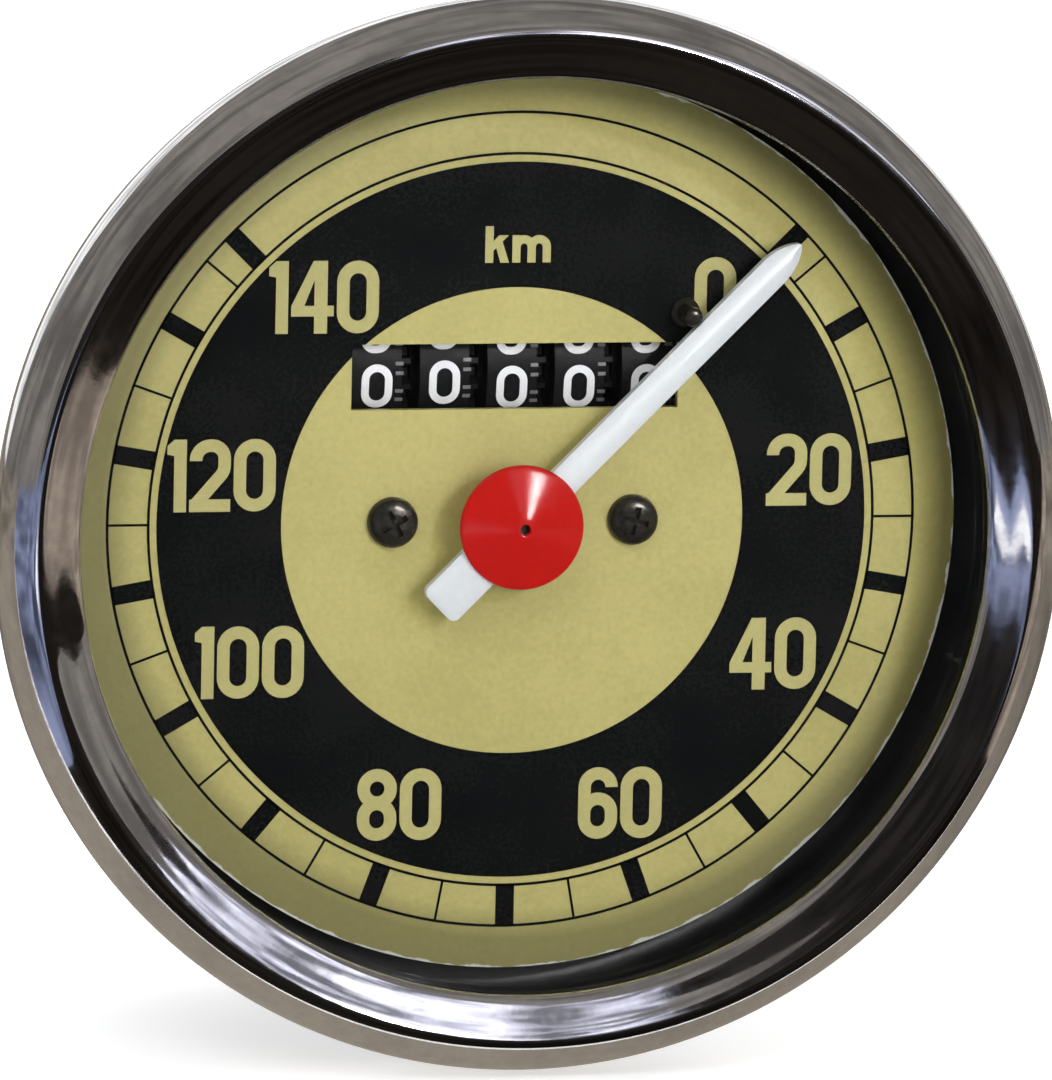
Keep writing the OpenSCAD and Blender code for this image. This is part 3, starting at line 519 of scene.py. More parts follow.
@dataclass(frozen=True)
class Finish(Surface):
    """A finish of two tones, with gloss and a fine grain."""

    tone: Colour
    shade: Colour
    metallic: float = 0.0
    rough: Flat = (0.35, 0.5)
    grain: Grain = Grain.EVEN
    scale: float = 2500.0
    bump: float = 0.05
    coat: float = 0.0
    specular: float = 0.5
    cloud_scale: float = 120.0
    toned: Flat = (0.75, 1.3)
    glossed: Flat = (0.7, 1.3)
    relief: float = 0.0002
    coat_rough: float = 0.08

    def make(self, graph: Graph) -> bpy.types.Material:
        """Vary colour, gloss and relief by the grain and by wide clouds.

        Args:
            graph: The tree of the new material.

        Returns:
            The material.
        """
        place = graph.place()
        drawn = graph.node("Mapping", {"Vector": place, "Scale": self.grain.value}).outputs[0]
        fine = graph.noise(drawn, self.scale, 4.0)
        both = graph.combine("ADD", fine, graph.noise(place, self.cloud_scale, 2.0))
        share = graph.span(both, self.toned, (0.0, 1.0))
        bumps = graph.node("Bump", {"Strength": self.bump, "Distance": self.relief, "Height": fine})
        inputs = {"Base Color": self.colour(graph, place, share), "Metallic": self.metallic,
                  "Roughness": graph.span(both, self.glossed, self.rough), "Normal": bumps.outputs[0],
                  "Specular IOR Level": self.specular}
        if self.coat:
            inputs |= {"Coat Weight": self.coat, "Coat Roughness": self.coat_rough}
        return graph.end(graph.node("BsdfPrincipled", inputs))

    def colour(self, graph: Graph, place: Socket, share: Socket) -> Socket:
        """Mix the two tones by the share of the shade, the same at every place."""
        return graph.blend(share, self.tone, self.shade)


@dataclass(frozen=True)
class RimmedFinish(Finish):
    """A lacquer with painted shade of the bezel's lip darkening it towards the rim of a disc, and worn
    through at its very edge.
    """

    rim: float = 36.1
    edge: float = 0.45
    # Painted shade: a ring that darkens the lacquer towards the rim stands in for the shadow of the bezel's
    # lip. Its middle sits off the axis, so one side is shaded more.
    dulled: Flat = (31.8, 34.3)
    dulling: float = 0.75
    centre: Flat = (1.1, 0.45)
    dark: Colour = (0.16, 0.145, 0.038)
    worn: Colour = (0.62, 0.62, 0.56)
    chip_scale: float = 600.0
    chipped: Flat = (0.8, 0.92)

    def colour(self, graph: Graph, place: Socket, share: Socket) -> Socket:
        """Mix the two tones, the painted shade of the bezel's lip towards the rim and the worn edge.

        Args:
            graph: The material's tree.
            place: Object coordinates.
            share: Share of the shade.

        Returns:
            The colour.
        """
        base = super().colour(graph, place, share)
        flat = graph.node("VectorMath", {0: place, 1: (1.0, 0.0, 1.0)}, operation="MULTIPLY").outputs[0]
        away = graph.node("VectorMath", {0: flat}, operation="LENGTH").outputs["Value"]
        middle = (self.centre[0] * MM, 0.0, self.centre[1] * MM)
        aside = graph.node("VectorMath", {0: flat, 1: middle}, operation="DISTANCE").outputs["Value"]
        # Painted shade of the bezel's lip, darkening towards the rim from the off-centre middle.
        start, full = self.dulled
        toned = graph.blend(graph.span(aside, (start * MM, full * MM), (0.0, self.dulling)), base, self.dark)
        edge = graph.span(away, ((self.rim - self.edge) * MM, self.rim * MM), (0.0, 0.5))
        chips = graph.combine("ADD", edge, graph.noise(place, self.chip_scale, 4.0))
        return graph.blend(graph.span(chips, self.chipped, (0.0, 1.0)), toned, self.worn)


@dataclass(frozen=True)
class ClearFinish(Surface):
    """Clear glass with a trace of dust."""

    tint: Colour
    haze: Flat = (0.0, 0.02)
    dust_scale: float = 900.0
    dusty: Flat = (0.55, 0.8)
    ior: float = 1.45

    def make(self, graph: Graph) -> bpy.types.Material:
        """Make the glass a little rough where dust lies.

        Args:
            graph: The tree of the new material.

        Returns:
            The material.
        """
        dust = graph.span(graph.noise(graph.place(), self.dust_scale, 5.0), self.dusty, self.haze)
        return graph.end(graph.node("BsdfPrincipled", {
            "Base Color": (*self.tint, 1.0), "Roughness": dust, "IOR": self.ior, "Transmission Weight": 1.0}))


CHROME = Finish("finish_chrome", (0.8, 0.79, 0.79), (0.66, 0.65, 0.66), 1.0, (0.035, 0.11),
                scale=900.0, bump=0.012)
GOLD = RimmedFinish("finish_gold_lacquer", (0.53, 0.47, 0.155), (0.445, 0.395, 0.122), 0.1, (0.42, 0.6),
                    bump=0.08)
GOLD_INK = Finish("finish_gold_ink", (0.52, 0.47, 0.17), (0.455, 0.41, 0.14), 0.05, (0.45, 0.6), scale=3500.0)
BLACK_INK = Finish("finish_black_ink", (0.0035, 0.0043, 0.005), (0.0065, 0.007, 0.007), 0.0, (0.22, 0.32),
                   scale=3000.0, specular=0.12)
NEEDLE_PAINT = Finish("finish_needle_paint", (0.84, 0.87, 0.9), (0.78, 0.81, 0.85), 0.0, (0.25, 0.4),
                      coat=0.2, bump=0.02)
RED_PLASTIC = Finish("finish_red_plastic", (0.6, 0.013, 0.01), (0.54, 0.01, 0.008), 0.0, (0.09, 0.15),
                     coat=0.1, bump=0.01, specular=0.3)
DIGIT_WHITE = Finish("finish_digit_white", (0.92, 0.92, 0.96), (0.85, 0.85, 0.9), 0.0, (0.4, 0.6))
# Painted glints: grey dashes on the black drums stand in for light caught by the drums' gear teeth.
GLINT_GREY = Finish("finish_glint_grey", (0.16, 0.165, 0.17), (0.1, 0.1, 0.105), 0.0, (0.45, 0.6))
DRUM_BLACK = Finish("finish_drum_black", (0.009, 0.009, 0.01), (0.014, 0.014, 0.015), specular=0.07)
BLACK_STEEL = Finish("finish_black_steel", (0.03, 0.028, 0.024), (0.075, 0.066, 0.055), 0.6, (0.14, 0.28))
# Dark steel for the arbor's end in the cap's bore: painted shade of the bore.
BORE_SHADE_STEEL = Finish("finish_bore_shade_steel", (0.014, 0.012, 0.013), (0.03, 0.025, 0.025), 0.3, (0.3, 0.45))
RUBBER = Finish("finish_rubber", (0.006, 0.006, 0.006), (0.011, 0.0105, 0.01), 0.0, (0.6, 0.8),
                scale=1800.0, bump=0.12, specular=0.08)
ENAMEL = Finish("finish_enamel", (0.022, 0.023, 0.025), (0.035, 0.035, 0.036), 0.0, (0.32, 0.48),
                scale=1400.0, bump=0.1)
ZINC = Finish("finish_zinc", (0.6, 0.6, 0.58), (0.47, 0.47, 0.45), 0.85, (0.42, 0.62), scale=1600.0, bump=0.2)
STEEL = Finish("finish_steel", (0.68, 0.68, 0.68), (0.54, 0.54, 0.55), 1.0, (0.22, 0.4), Grain.DRAWN)
BRASS = Finish("finish_brass", (0.66, 0.48, 0.2), (0.5, 0.35, 0.13), 1.0, (0.22, 0.4), Grain.DRAWN)
ALUMINIUM = Finish("finish_aluminium", (0.7, 0.71, 0.72), (0.58, 0.585, 0.59), 1.0, (0.3, 0.45), Grain.ROLLED)
MAGNET = Finish("finish_magnet", (0.09, 0.09, 0.095), (0.05, 0.05, 0.052), 0.8, (0.4, 0.6), bump=0.15)
LAMP_PLASTIC = Finish("finish_lamp_plastic", (0.018, 0.017, 0.016), (0.03, 0.028, 0.026), bump=0.1)
LENS = ClearFinish("finish_lens", (0.98, 0.99, 0.985))
BULB = ClearFinish("finish_bulb", (0.95, 0.96, 0.93), (0.02, 0.12))

SLOT_FINISHES = {
    "case_enamel": ENAMEL, "bezel_chrome": CHROME, "lens_clear": LENS, "seal_rubber": RUBBER,
    "dial_gold": GOLD, "black_steel": BLACK_STEEL, "needle_white": NEEDLE_PAINT, "cap_red": RED_PLASTIC,
    "drum_black": DRUM_BLACK, "die_cast_zinc": ZINC, "bright_steel": STEEL, "turned_brass": BRASS,
    "cup_aluminium": ALUMINIUM, "magnet_dark": MAGNET, "lamp_plastic": LAMP_PLASTIC, "bulb_glass": BULB,
}


def dress(piece: Piece, finish: Surface, body: str, slot: str, *nodes: str) -> Piece:
    """Give a piece its finish and tie it to the frame.

    Args:
        piece: The finished piece.
        finish: Its surface finish.
        body: Body that it rides on.
        slot: Material slot of the record, which is not used.
        nodes: Nodes that it stands for.

    Returns:
        The same piece.
    """
    piece.data.materials.clear()
    piece.data.materials.append(finish.material())
    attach(piece, body)
    if nodes:
        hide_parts(*nodes)
    LOG.info("%s rides on %s", piece.name, body)
    return piece


@dataclass(frozen=True)
class Lamp:
    """A soft box that faces the instrument."""

    name: str
    place: Point
    size: Flat
    watts: float
    tint: Colour = (1.0, 1.0, 1.0)
    mirrored: bool = False
    diffuse: bool = True

    def hang(self) -> None:
        """Add the lamp."""
        Bench.pick()
        bpy.ops.object.light_add(type="AREA", location=self.place)
        lamp = bpy.context.object
        lamp.name = self.name
        lamp.data.shape = "RECTANGLE"
        lamp.data.size, lamp.data.size_y = self.size
        lamp.data.energy = self.watts
        lamp.data.color = self.tint
        lamp.rotation_euler = Vector(self.place).to_track_quat("Z", "Y").to_euler()
        lamp.visible_camera = False
        lamp.visible_glossy = lamp.visible_transmission = self.mirrored
        lamp.visible_diffuse = self.diffuse


@dataclass(frozen=True)
class Card:
    """A mottled card that only the shiny surfaces see."""

    name: str
    place: Point
    size: Flat
    glow: Colour
    faces: Point = (0.0, 0.0, 1.0)
    mottle: float = 0.35
    grain: float = 5.0

    def stand(self) -> None:
        """Add the card."""
        Bench.pick()
        bpy.ops.mesh.primitive_plane_add(size=1.0)
        turn = Vector(self.faces).to_track_quat("Z", "Y").to_matrix().to_4x4()
        place = Matrix.Translation(self.place) @ turn @ Matrix.Diagonal((*self.size, 1.0, 1.0))
        self.paint(Bench.put(bpy.context.object, place))

    def paint(self, card: Piece) -> None:
        """Give the card its mottled glow and hide it from all but mirrored rays.

        Args:
            card: The bare card.
        """
        card.name = self.name
        graph = Graph(bpy.data.materials.new("card_" + self.name))
        low, high = ([c * share for c in self.glow] for share in (1 - self.mottle, 1 + self.mottle))
        share = graph.span(graph.noise(graph.place(), self.grain), (0.4, 0.6), (0.0, 1.0))
        light = graph.node("Emission", {"Color": graph.blend(share, low, high), "Strength": 1.0})
        card.data.materials.append(graph.end(light))
        card.visible_camera = card.visible_diffuse = card.visible_shadow = False


@dataclass(frozen=True)
class Room(Card):
    """A round room behind the cards, whose size is its two radii."""

    def stand(self) -> None:
        """Add the room."""
        Bench.pick()
        bpy.ops.mesh.primitive_uv_sphere_add(segments=32, ring_count=16, radius=1.0)
        wide, high = self.size
        place = Matrix.Translation(self.place) @ Matrix.Diagonal((wide, wide, high, 1.0))
        self.paint(Bench.put(bpy.context.object, place))


@dataclass
class Studio:
    """Camera, floor, light and mirrored cards."""

    eye: Point = (-209.3, 153.0, 965.8)
    ahead: Point = (0.20986, -0.15415, -0.9655)
    upright: Point = (0.01241, 0.98783, -0.15502)
    focal: float = 12615.0
    image_height: float = 1080.0
    sensor: float = 36.0
    near: float = 0.01
    floor_drop: float = 43.2
    floor_size: float = 6.0
    paper: tuple[Colour, Colour] = ((0.86, 0.86, 0.86), (0.9, 0.9, 0.9))
    paper_scale: float = 300.0
    paper_glow: float = 0.5
    fill: float = 0.44
    lamps: tuple[Lamp, ...] = (
        Lamp("key", (0.24, -0.86, 0.12), (0.26, 0.26), 2.8, (1.0, 0.985, 0.96)),
        Lamp("top_left", (-0.36, -0.62, 0.66), (0.6, 0.4), 2.3, (0.95, 0.975, 1.0)),
        Lamp("spark", (0.306, -0.731, 0.311), (0.06, 0.06), 6.0, mirrored=True, diffuse=False),
        Lamp("rear_box", (0.4, 0.8, 0.55), (0.6, 0.6), 6.5),
        Lamp("rear_side", (-0.75, 0.45, 0.3), (0.5, 0.5), 3.2),
    )
    cards: tuple[Card, ...] = (
        Card("window", (0.42, -0.84, 0.5), (0.86, 0.45), (0.78, 0.79, 0.95), (-0.42, 0.84, -0.5), 0.75, 6.0),
        Card("front_wall", (0.1, -1.3, 0.2), (2.6, 1.2), (0.018, 0.016, 0.015), (0.0, 1.0, 0.0)),
        Card("front_ground", (1.115, -1.156, -0.0431), (2.37, 2.29), (0.012, 0.01, 0.008),
             mottle=0.5, grain=30.0),
        Card("right_ground", (1.19, -0.105, -0.043), (2.214, 0.19), (0.34, 0.28, 0.23),
             mottle=0.4, grain=12.0),
        Card("left_ground", (-1.17, -1.156, -0.0431), (2.2, 2.29), (0.2, 0.23, 0.36),
             mottle=0.7, grain=12.0),
        Card("left_strip", (-0.12, -0.23, -0.0429), (0.05, 0.14), (0.95, 0.95, 1.0)),
        Card("rear_ground", (0.0, 1.14, -0.0431), (4.6, 2.3), (0.25, 0.22, 0.18)),
        Card("rear_wall", (0.0, 1.3, 0.3), (2.2, 1.2), (0.95, 0.95, 0.96), (0.0, -1.0, 0.0)),
        Room("room", (0.0, 0.0, 0.0), (2.2, 1.6), (0.21, 0.195, 0.18), mottle=0.3, grain=2.0),
    )

    def build(self) -> None:
        """Set up the whole studio."""
        self.aim_camera()
        self.lay_floor()
        self.light_world()
        for lamp in self.lamps:
            lamp.hang()
        for card in self.cards:
            card.stand()
        bpy.context.scene.view_settings.view_transform = "Standard"

    def aim_camera(self) -> None:
        """Add the camera at the photograph's viewing angle."""
        Bench.pick()
        bpy.ops.object.camera_add()
        camera = bpy.context.object
        camera.data.sensor_fit = "VERTICAL"
        camera.data.sensor_height = self.sensor
        camera.data.lens = self.focal / self.image_height * self.sensor
        camera.data.clip_start = self.near
        ahead, upright = (world(*v).normalized() for v in (self.ahead, self.upright))
        side = ahead.cross(upright).normalized()
        turn = Matrix((side, side.cross(ahead), -ahead)).transposed()
        camera.matrix_world = Matrix.Translation(world(*self.eye)) @ turn.to_4x4()
        bpy.context.scene.camera = camera

    def lay_floor(self) -> None:
        """Add the pale floor, which keeps the shadow and is near white to the camera."""
        Bench.pick()
        bpy.ops.mesh.primitive_plane_add(size=self.floor_size, location=(0.0, 0.0, -self.floor_drop * MM))
        floor = bpy.context.object
        floor.name = "floor"
        graph = Graph(bpy.data.materials.new("floor_paper"))
        fibres = graph.noise(graph.place(), self.paper_scale)
        matt = graph.node("BsdfDiffuse", {"Color": graph.blend(fibres, *self.paper)})
        level = graph.span(graph.rays("Is Camera Ray", "Is Glossy Ray"), (0.0, 1.0), (0.0, self.paper_glow))
        glow = graph.node("Emission", {"Color": WHITE, "Strength": level})
        both = graph.node("AddShader", {0: matt.outputs[0], 1: glow.outputs[0]})
        floor.data.materials.append(graph.end(both))

    def light_world(self) -> None:
        """Make the world white to the eye and to mirrors, and a soft fill to all else."""
        graph = Graph(bpy.data.worlds.new("studio"))
        seen = graph.rays("Is Camera Ray", "Is Glossy Ray", "Is Transmission Ray")
        level = graph.span(seen, (0.0, 1.0), (self.fill, 1.0))
        back = graph.node("Background", {"Color": WHITE, "Strength": level})
        bpy.context.scene.world = graph.end(back, "OutputWorld")


@dataclass
class BezelAndGlass:
    """Chromed bezel, flat glass and the rubber on both sides of the glass.

    A rubber ring is given by its inner radius, rear, outer radius and front.
    """

    hem_in: float = 40.35
    hem_out: float = 42.3
    hem: Flat = (0.1, 0.9)
    hem_corner: float = 0.6
    flank: Profile = (
        (42.3, 0.7), (42.62, 2.6), (43.02, 4.7), (42.78, 6.2), (42.2, 7.4), (41.4, 8.3), (40.7, 8.95),
        (40.1, 9.14), (39.55, 8.98), (38.6, 8.5), (37.6, 8.12), (36.95, 7.8), (36.62, 7.56), (36.5, 7.32),
        (36.54, 7.1))
    inside: Profile = ((36.7, 7.0), (38.4, 7.0), (40.1, 7.9), (41.4, 7.0), (42.2, 4.7), (41.5, 0.9))
    glass_r: float = 39.8
    glass: Flat = (4.5, 6.5)
    glass_chamfer: float = 0.25
    seal: Quad = (36.9, 6.5, 38.4, 7.0)
    gasket: Quad = (37.2, 1.9, 40.3, 4.5)
    rubber_round: float = 0.22

    def build(self) -> None:
        """Build and dress the bezel, the pane and the two rubber rings."""
        self.make_bezel()
        self.make_pane()
        rings = (("front_seal", self.seal, "lens_seal"), ("rear_gasket", self.gasket, "lens_gasket"))
        for name, section, node in rings:
            loop = rounded(oblong(*section), self.rubber_round, closed=True, steps=4)
            ring = Bench.lathe(name, [*loop, loop[0]], Facets.GLASS)
            dress(ring, RUBBER, "case", "seal_rubber", node)

    def make_bezel(self) -> None:
        """Turn the hollow bezel with its hem."""
        hem_low, hem_top = self.hem
        bend = self.hem_corner
        corner = arc((self.hem_out - bend, hem_low + bend), bend, -90, 0, 6)
        profile = [(self.hem_in, hem_low), *corner, *soften(self.flank)[1:], *self.inside]
        profile += [(self.hem_in, hem_top), (self.hem_in, hem_low)]
        bezel = Bench.lathe("chrome_bezel", profile, Facets.BEZEL)
        dress(bezel, CHROME, "case", "bezel_chrome", "bezel_ring")

    def make_pane(self) -> None:
        """Make the pane with its chamfered rim, which lets the light through to the dial."""
        rear, front = self.glass
        rim, edge = self.glass_r, self.glass_chamfer
        outside = [(rim - edge, rear), (rim, rear + edge), (rim, front - edge), (rim - edge, front)]
        pane = Bench.lathe("glass_pane", [(0.0, rear), *outside, (0.0, front)], Facets.GLASS)
        dress(pane, LENS, "case", "lens_clear", "lens_glass")
        pane.visible_shadow = pane.visible_diffuse = False


@dataclass(frozen=True)
class Stroke:
    """A pen stroke: its middle line, whether it closes on itself and its weight."""

    line: Sequence[Flat]
    closed: bool = False
    weight: float = 1.0
    mitre_limit: float = 0.4

    def outline(self, pen: float) -> list[list[Flat]]:
        """Draw round the stroke.

        Args:
            pen: Width of the pen.

        Returns:
            One loop round an open stroke, or the two loops of a closed one.
        """
        half = pen * self.weight / 2
        points = [Vector(p) for p in self.line]
        count = len(points)
        left, right = [], []
        for i, point in enumerate(points):
            before = point - points[i - 1]
            onward = points[(i + 1) % count] - point
            if not self.closed and i == 0:
                before = onward
            elif not self.closed and i == count - 1:
                onward = before
            normals = [Vector((-d.y, d.x)).normalized() for d in (before, onward)]
            mitre = (normals[0] + normals[1]).normalized()
            reach = mitre * (half / max(mitre.dot(normals[0]), self.mitre_limit))
            left.append(tuple(point + reach))
            right.append(tuple(point - reach))
        return [left, right] if self.closed else [left + right[::-1]]


@dataclass(frozen=True)
class Block:
    """A solid patch of print."""

    edge: Sequence[Flat]

    def outline(self, pen: float) -> list[list[Flat]]:
        """Give the patch's own edge, whatever the pen."""
        return [list(self.edge)]


@dataclass
class Lettering:
    """Narrow upright numerals of one pen width, made as thin slabs of print."""

    height: float
    pen: float
    widths: dict[str, float]
    back: float
    front: float
    gap: float = 0.25
    step: float = 0.002
    made: dict[str, Piece] = field(default_factory=dict)

    def strokes(self, sign: str) -> list[Stroke | Block]:
        """Give the pen strokes of a sign, from its lower left corner.

        Args:
            sign: A digit or one of the letters k and m.

        Returns:
            The strokes.
        """
        w, h, t = self.widths[sign], self.height, self.pen
        left, right, low, top = t / 2, w - t / 2, t / 2, h - t / 2
        corners = oblong(left, low, right, top)
        low_left, low_right, top_right, top_left = corners
        bend, middle, waist, small = (w - t) / 2, h * 0.53, h * 0.56, h * 0.75
        hip, hook = (right, middle), (left, 0.24 * h)
        match sign:
            case "0":
                return [Stroke(rounded(corners, bend, True), True)]
            case "1":
                flag = Block([(0, h - 1.18 * t), (right, h - 1.4 * t), (right, h), (w - t, h),
                              (0, h - 0.5 * t)])
                return [Stroke([(right, 0), (right, h)]), flag]
            case "2":
                swan = [(left, h - 1.72 * t), top_left, top_right, (right, waist), (0.36 * t, 0.45 * t)]
                return [Stroke(rounded(swan, bend)), Stroke([(0, low), (w, low)])]
            case "3":
                inner = (0.4 * w, middle)
                over = rounded([(left, 0.76 * h), top_left, top_right, hip, inner], bend)
                under = rounded([inner, hip, low_right, low_left, hook], bend)
                return [Stroke(over), Stroke(under)]
            case "4":
                stem, bar, notch = 0.695 * w, 0.31 * h, 0.31 * w
                slope = Block([(0, 0.24 * h), (notch, 0.24 * h), (notch, 0.39 * h), (stem, 0.97 * h),
                               (stem, h), (0.51 * w, h), (0, 0.38 * h)])
                upright = Stroke([(stem, 0), (stem, h)], weight=1.05)
                return [upright, Stroke([(0, bar), (w, bar)], weight=0.84), slope]
            case "5":
                belly = rounded([top_left, (left, middle), hip, low_right, low_left, hook], bend)
                return [Stroke(belly), Stroke([(0, top), (w, top)])]
            case "6":
                ring = rounded(oblong(left, low, right, waist), bend, True)
                spine = rounded([(right, h - 1.62 * t), top_right, top_left, (left, 0.3 * h)], bend)
                return [Stroke(ring, True), Stroke(spine)]
            case "7":
                return [Stroke([(0, top), (w, top)]), Stroke([(right, h - 0.4 * t), (0.36 * w, 0)])]
            case "8":
                lower = rounded(oblong(left, low, right, middle - 0.1 * t), bend, True)
                upper = rounded(oblong(left, middle, right, top), bend, True)
                return [Stroke(lower, True), Stroke(upper, True)]
            case "9":
                return [Stroke([(w - x, h - y) for x, y in s.line], s.closed) for s in self.strokes("6")]
            case "k":
                arm = Block([(left, 0.21 * h), (0.97 * w, small), (0.57 * w, small), (left, 0.47 * h)])
                leg = Block([(0.45 * w, 0.42 * h), (0.64 * w, 0), (w, 0), (0.7 * w, 0.6 * h)])
                return [Stroke([(left, 0), (left, h)]), arm, leg]
            case _:
                half = (w - t) / 4
                crown = small - low - half
                arches = [Stroke([*arc((leg - half, crown), half, 180, 0, 10), (leg, 0)])
                          for leg in (w / 2, right)]
                return [Stroke([(left, 0), (left, small)]), *arches]

    def slab(self, sign: str) -> Piece:
        """Give the slab of a sign, made once.

        Args:
            sign: The sign.

        Returns:
            The slab, with its lower left corner on the axis.
        """
        if sign not in self.made:
            pieces = []
            for number, stroke in enumerate(self.strokes(sign)):
                proud = number * self.step
                loops = stroke.outline(self.pen)
                pieces.append(Bench.plate(f"sign_{sign}", loops, self.back - proud, self.front + proud))
            for other in pieces[1:]:
                Bench.boolean(pieces[0], other, Joint.ADD)
            self.made[sign] = pieces[0]
        return self.made[sign]

    def write(self, text: str, centre: Flat) -> list[Piece]:
        """Set a text about a point.

        Args:
            text: The signs.
            centre: Middle of the text.

        Returns:
            The copies of the slabs.
        """
        long = sum(self.widths[s] for s in text) + self.gap * (len(text) - 1)
        x, y = centre[0] - long / 2, centre[1] - self.height / 2
        copies = []
        for sign in text:
            copies.append(Bench.copy(self.slab(sign), Matrix.Translation(world(x, y, 0))))
            x += self.widths[sign] + self.gap
        return copies

    def clear(self) -> None:
        """Remove the slabs that the copies came from."""
        for piece in self.made.values():
            bpy.data.objects.remove(piece)
        self.made.clear()


@dataclass
class DialFace:
    """Print, screws and stop pin of the dial.

    Profiles of the screws and the stop start at the dial's face. A recess is its reach, half angle and depth.
    """

    face: float = -3.0
    ink: float = 0.03
    band: Flat = (18.73, 28.75)
    scale: Flat = (29.41, 32.71)
    line: float = 0.22
    speeds: tuple[int, int] = (0, 140)
    ends: Flat = (45.0, 315.0)
    per_km: float = 2.0
    thick_tick: float = 1.5
    thin_tick: float = 0.2
    window: Quad = (-13.24, 8.975, 13.24, 14.225)
    numbers: tuple[tuple[str, Flat], ...] = (
        ("0", (16.1, 18.1)), ("20", (24.1, 3.85)), ("40", (21.5, -11.0)), ("60", (9.25, -22.9)),
        ("80", (-8.75, -22.75)), ("100", (-21.1, -11.1)), ("120", (-23.6, 3.9)), ("140", (-15.6, 18.05)))
    figure: Flat = (5.8, 1.0)
    unit: Flat = (2.92, 0.66)
    unit_place: Flat = (0.0, 22.15)
    screw_x: float = 9.75
    screw_turns: Flat = (28.0, -14.0)
    screw_top: float = 1.2
    screw_dome: Profile = ((2.05, 0.0), (2.05, 0.35), (1.9, 0.78), (1.45, 1.08), (0.8, 1.2))
    shank: Flat = (1.0, -3.9)
    recess: Triple = (1.15, 12.0, 0.62)
    stop: Flat = (13.67, 16.6)
    stop_top: float = 3.5
    stop_rivet: Profile = ((0.0, -1.2), (1.2, -1.2), (1.2, -0.8), (0.8, -0.8), (0.8, 0.0))
    stop_post: Profile = ((1.2, 0.0), (1.2, 0.3), (0.62, 0.55), (0.6, 1.9), (0.8, 2.2), (0.8, 3.15),
                          (0.62, 3.42), (0.3, 3.5))

    def build(self) -> None:
        """Build and dress everything on the dial."""
        self.print_scale()
        self.print_numbers()
        self.make_screws()
        self.make_stop()

    def bearing(self, speed: int) -> float:
        """Give the direction of a speed on the scale, in degrees clockwise from straight up."""
        ends = dict(zip(self.speeds, self.ends))
        return ends.get(speed, 180.0 + self.per_km * (speed - sum(self.speeds) / 2))

    def washer(self, name: str, inner: float, outer: float) -> Piece:
        """Make a printed ring between two radii."""
        loop = oblong(inner, self.face, outer, self.face + self.ink)
        return Bench.lathe(name, [*loop, loop[0]], Facets.PRINT)

    def print_scale(self) -> None:
        """Print the black band, the two lines and the ticks."""
        band = self.washer("band", *self.band)
        opening = Bench.plate("opening", [oblong(*self.window)], self.face - CLEAR, self.face + CLEAR)
        Bench.boolean(band, opening, Joint.CUT)
        prints = [band] + [self.washer("line", r - self.line / 2, r + self.line / 2) for r in self.scale]
        inner, outer = self.scale
        for width, first in ((self.thick_tick, 0), (self.thin_tick, 5)):
            bar = oblong(-width / 2, inner, width / 2, outer)
            tick = Bench.plate("tick", [bar], self.face, self.face + self.ink)
            for speed in range(first, self.speeds[1] + 1, 10):
                turn = Matrix.Rotation(math.radians(self.bearing(speed)), 4, "Y")
                prints.append(Bench.copy(tick, turn))
            bpy.data.objects.remove(tick)
        dress(Bench.join("dial_scale", prints), BLACK_INK, "case", "dial_gold")

    def print_numbers(self) -> None:
        """Print the numerals and the unit on the band."""
        levels = self.face + self.ink, self.face + 2 * self.ink
        widths = {"0": 3.38, "1": 1.56, "2": 3.3, "4": 3.42, "6": 3.2, "8": 3.2}
        figures = Lettering(*self.figure, widths, *levels)
        unit = Lettering(*self.unit, {"k": 1.94, "m": 3.12}, *levels)
        prints = [copy for text, centre in self.numbers for copy in figures.write(text, centre)]
        prints += unit.write("km", self.unit_place)
        for letters in (figures, unit):
            letters.clear()
        dress(Bench.join("dial_numbers", prints), GOLD_INK, "case", "dial_gold")

    def make_screws(self) -> None:
        """Make the two domed screws with a cross recess."""
        shank, tip = self.shank
        side = [(0.0, tip), (shank, tip), (shank, 0.0), *soften(self.screw_dome, 2), (0.0, self.screw_top)]
        top = self.face + self.screw_top
        reach, half, deep = self.recess
        screws = []
        for x, turn in zip((-self.screw_x, self.screw_x), self.screw_turns):
            screw = Bench.lathe("screw", lifted(side, self.face), Facets.SCREW, (x, 0.0))
            for quarter in (0.0, 90.0):
                blade = slit((x, 0.0), reach, half, turn + quarter)
                Bench.boolean(screw, Bench.plate("recess", [blade], top - deep, top + CLEAR), Joint.CUT)
            screws.append(Bench.smooth(screw))
        dress(Bench.join("dial_screw_pair", screws), BLACK_STEEL, "case", "black_steel", "dial_screws")

    def make_stop(self) -> None:
        """Make the post that the needle rests on."""
        side = [*self.stop_rivet, *soften(self.stop_post, 2), (0.0, self.stop_top)]
        pin = Bench.lathe("stop_post", lifted(side, self.face), Facets.POST, self.stop)
        dress(pin, BLACK_STEEL, "case", "black_steel", "stop_pin")


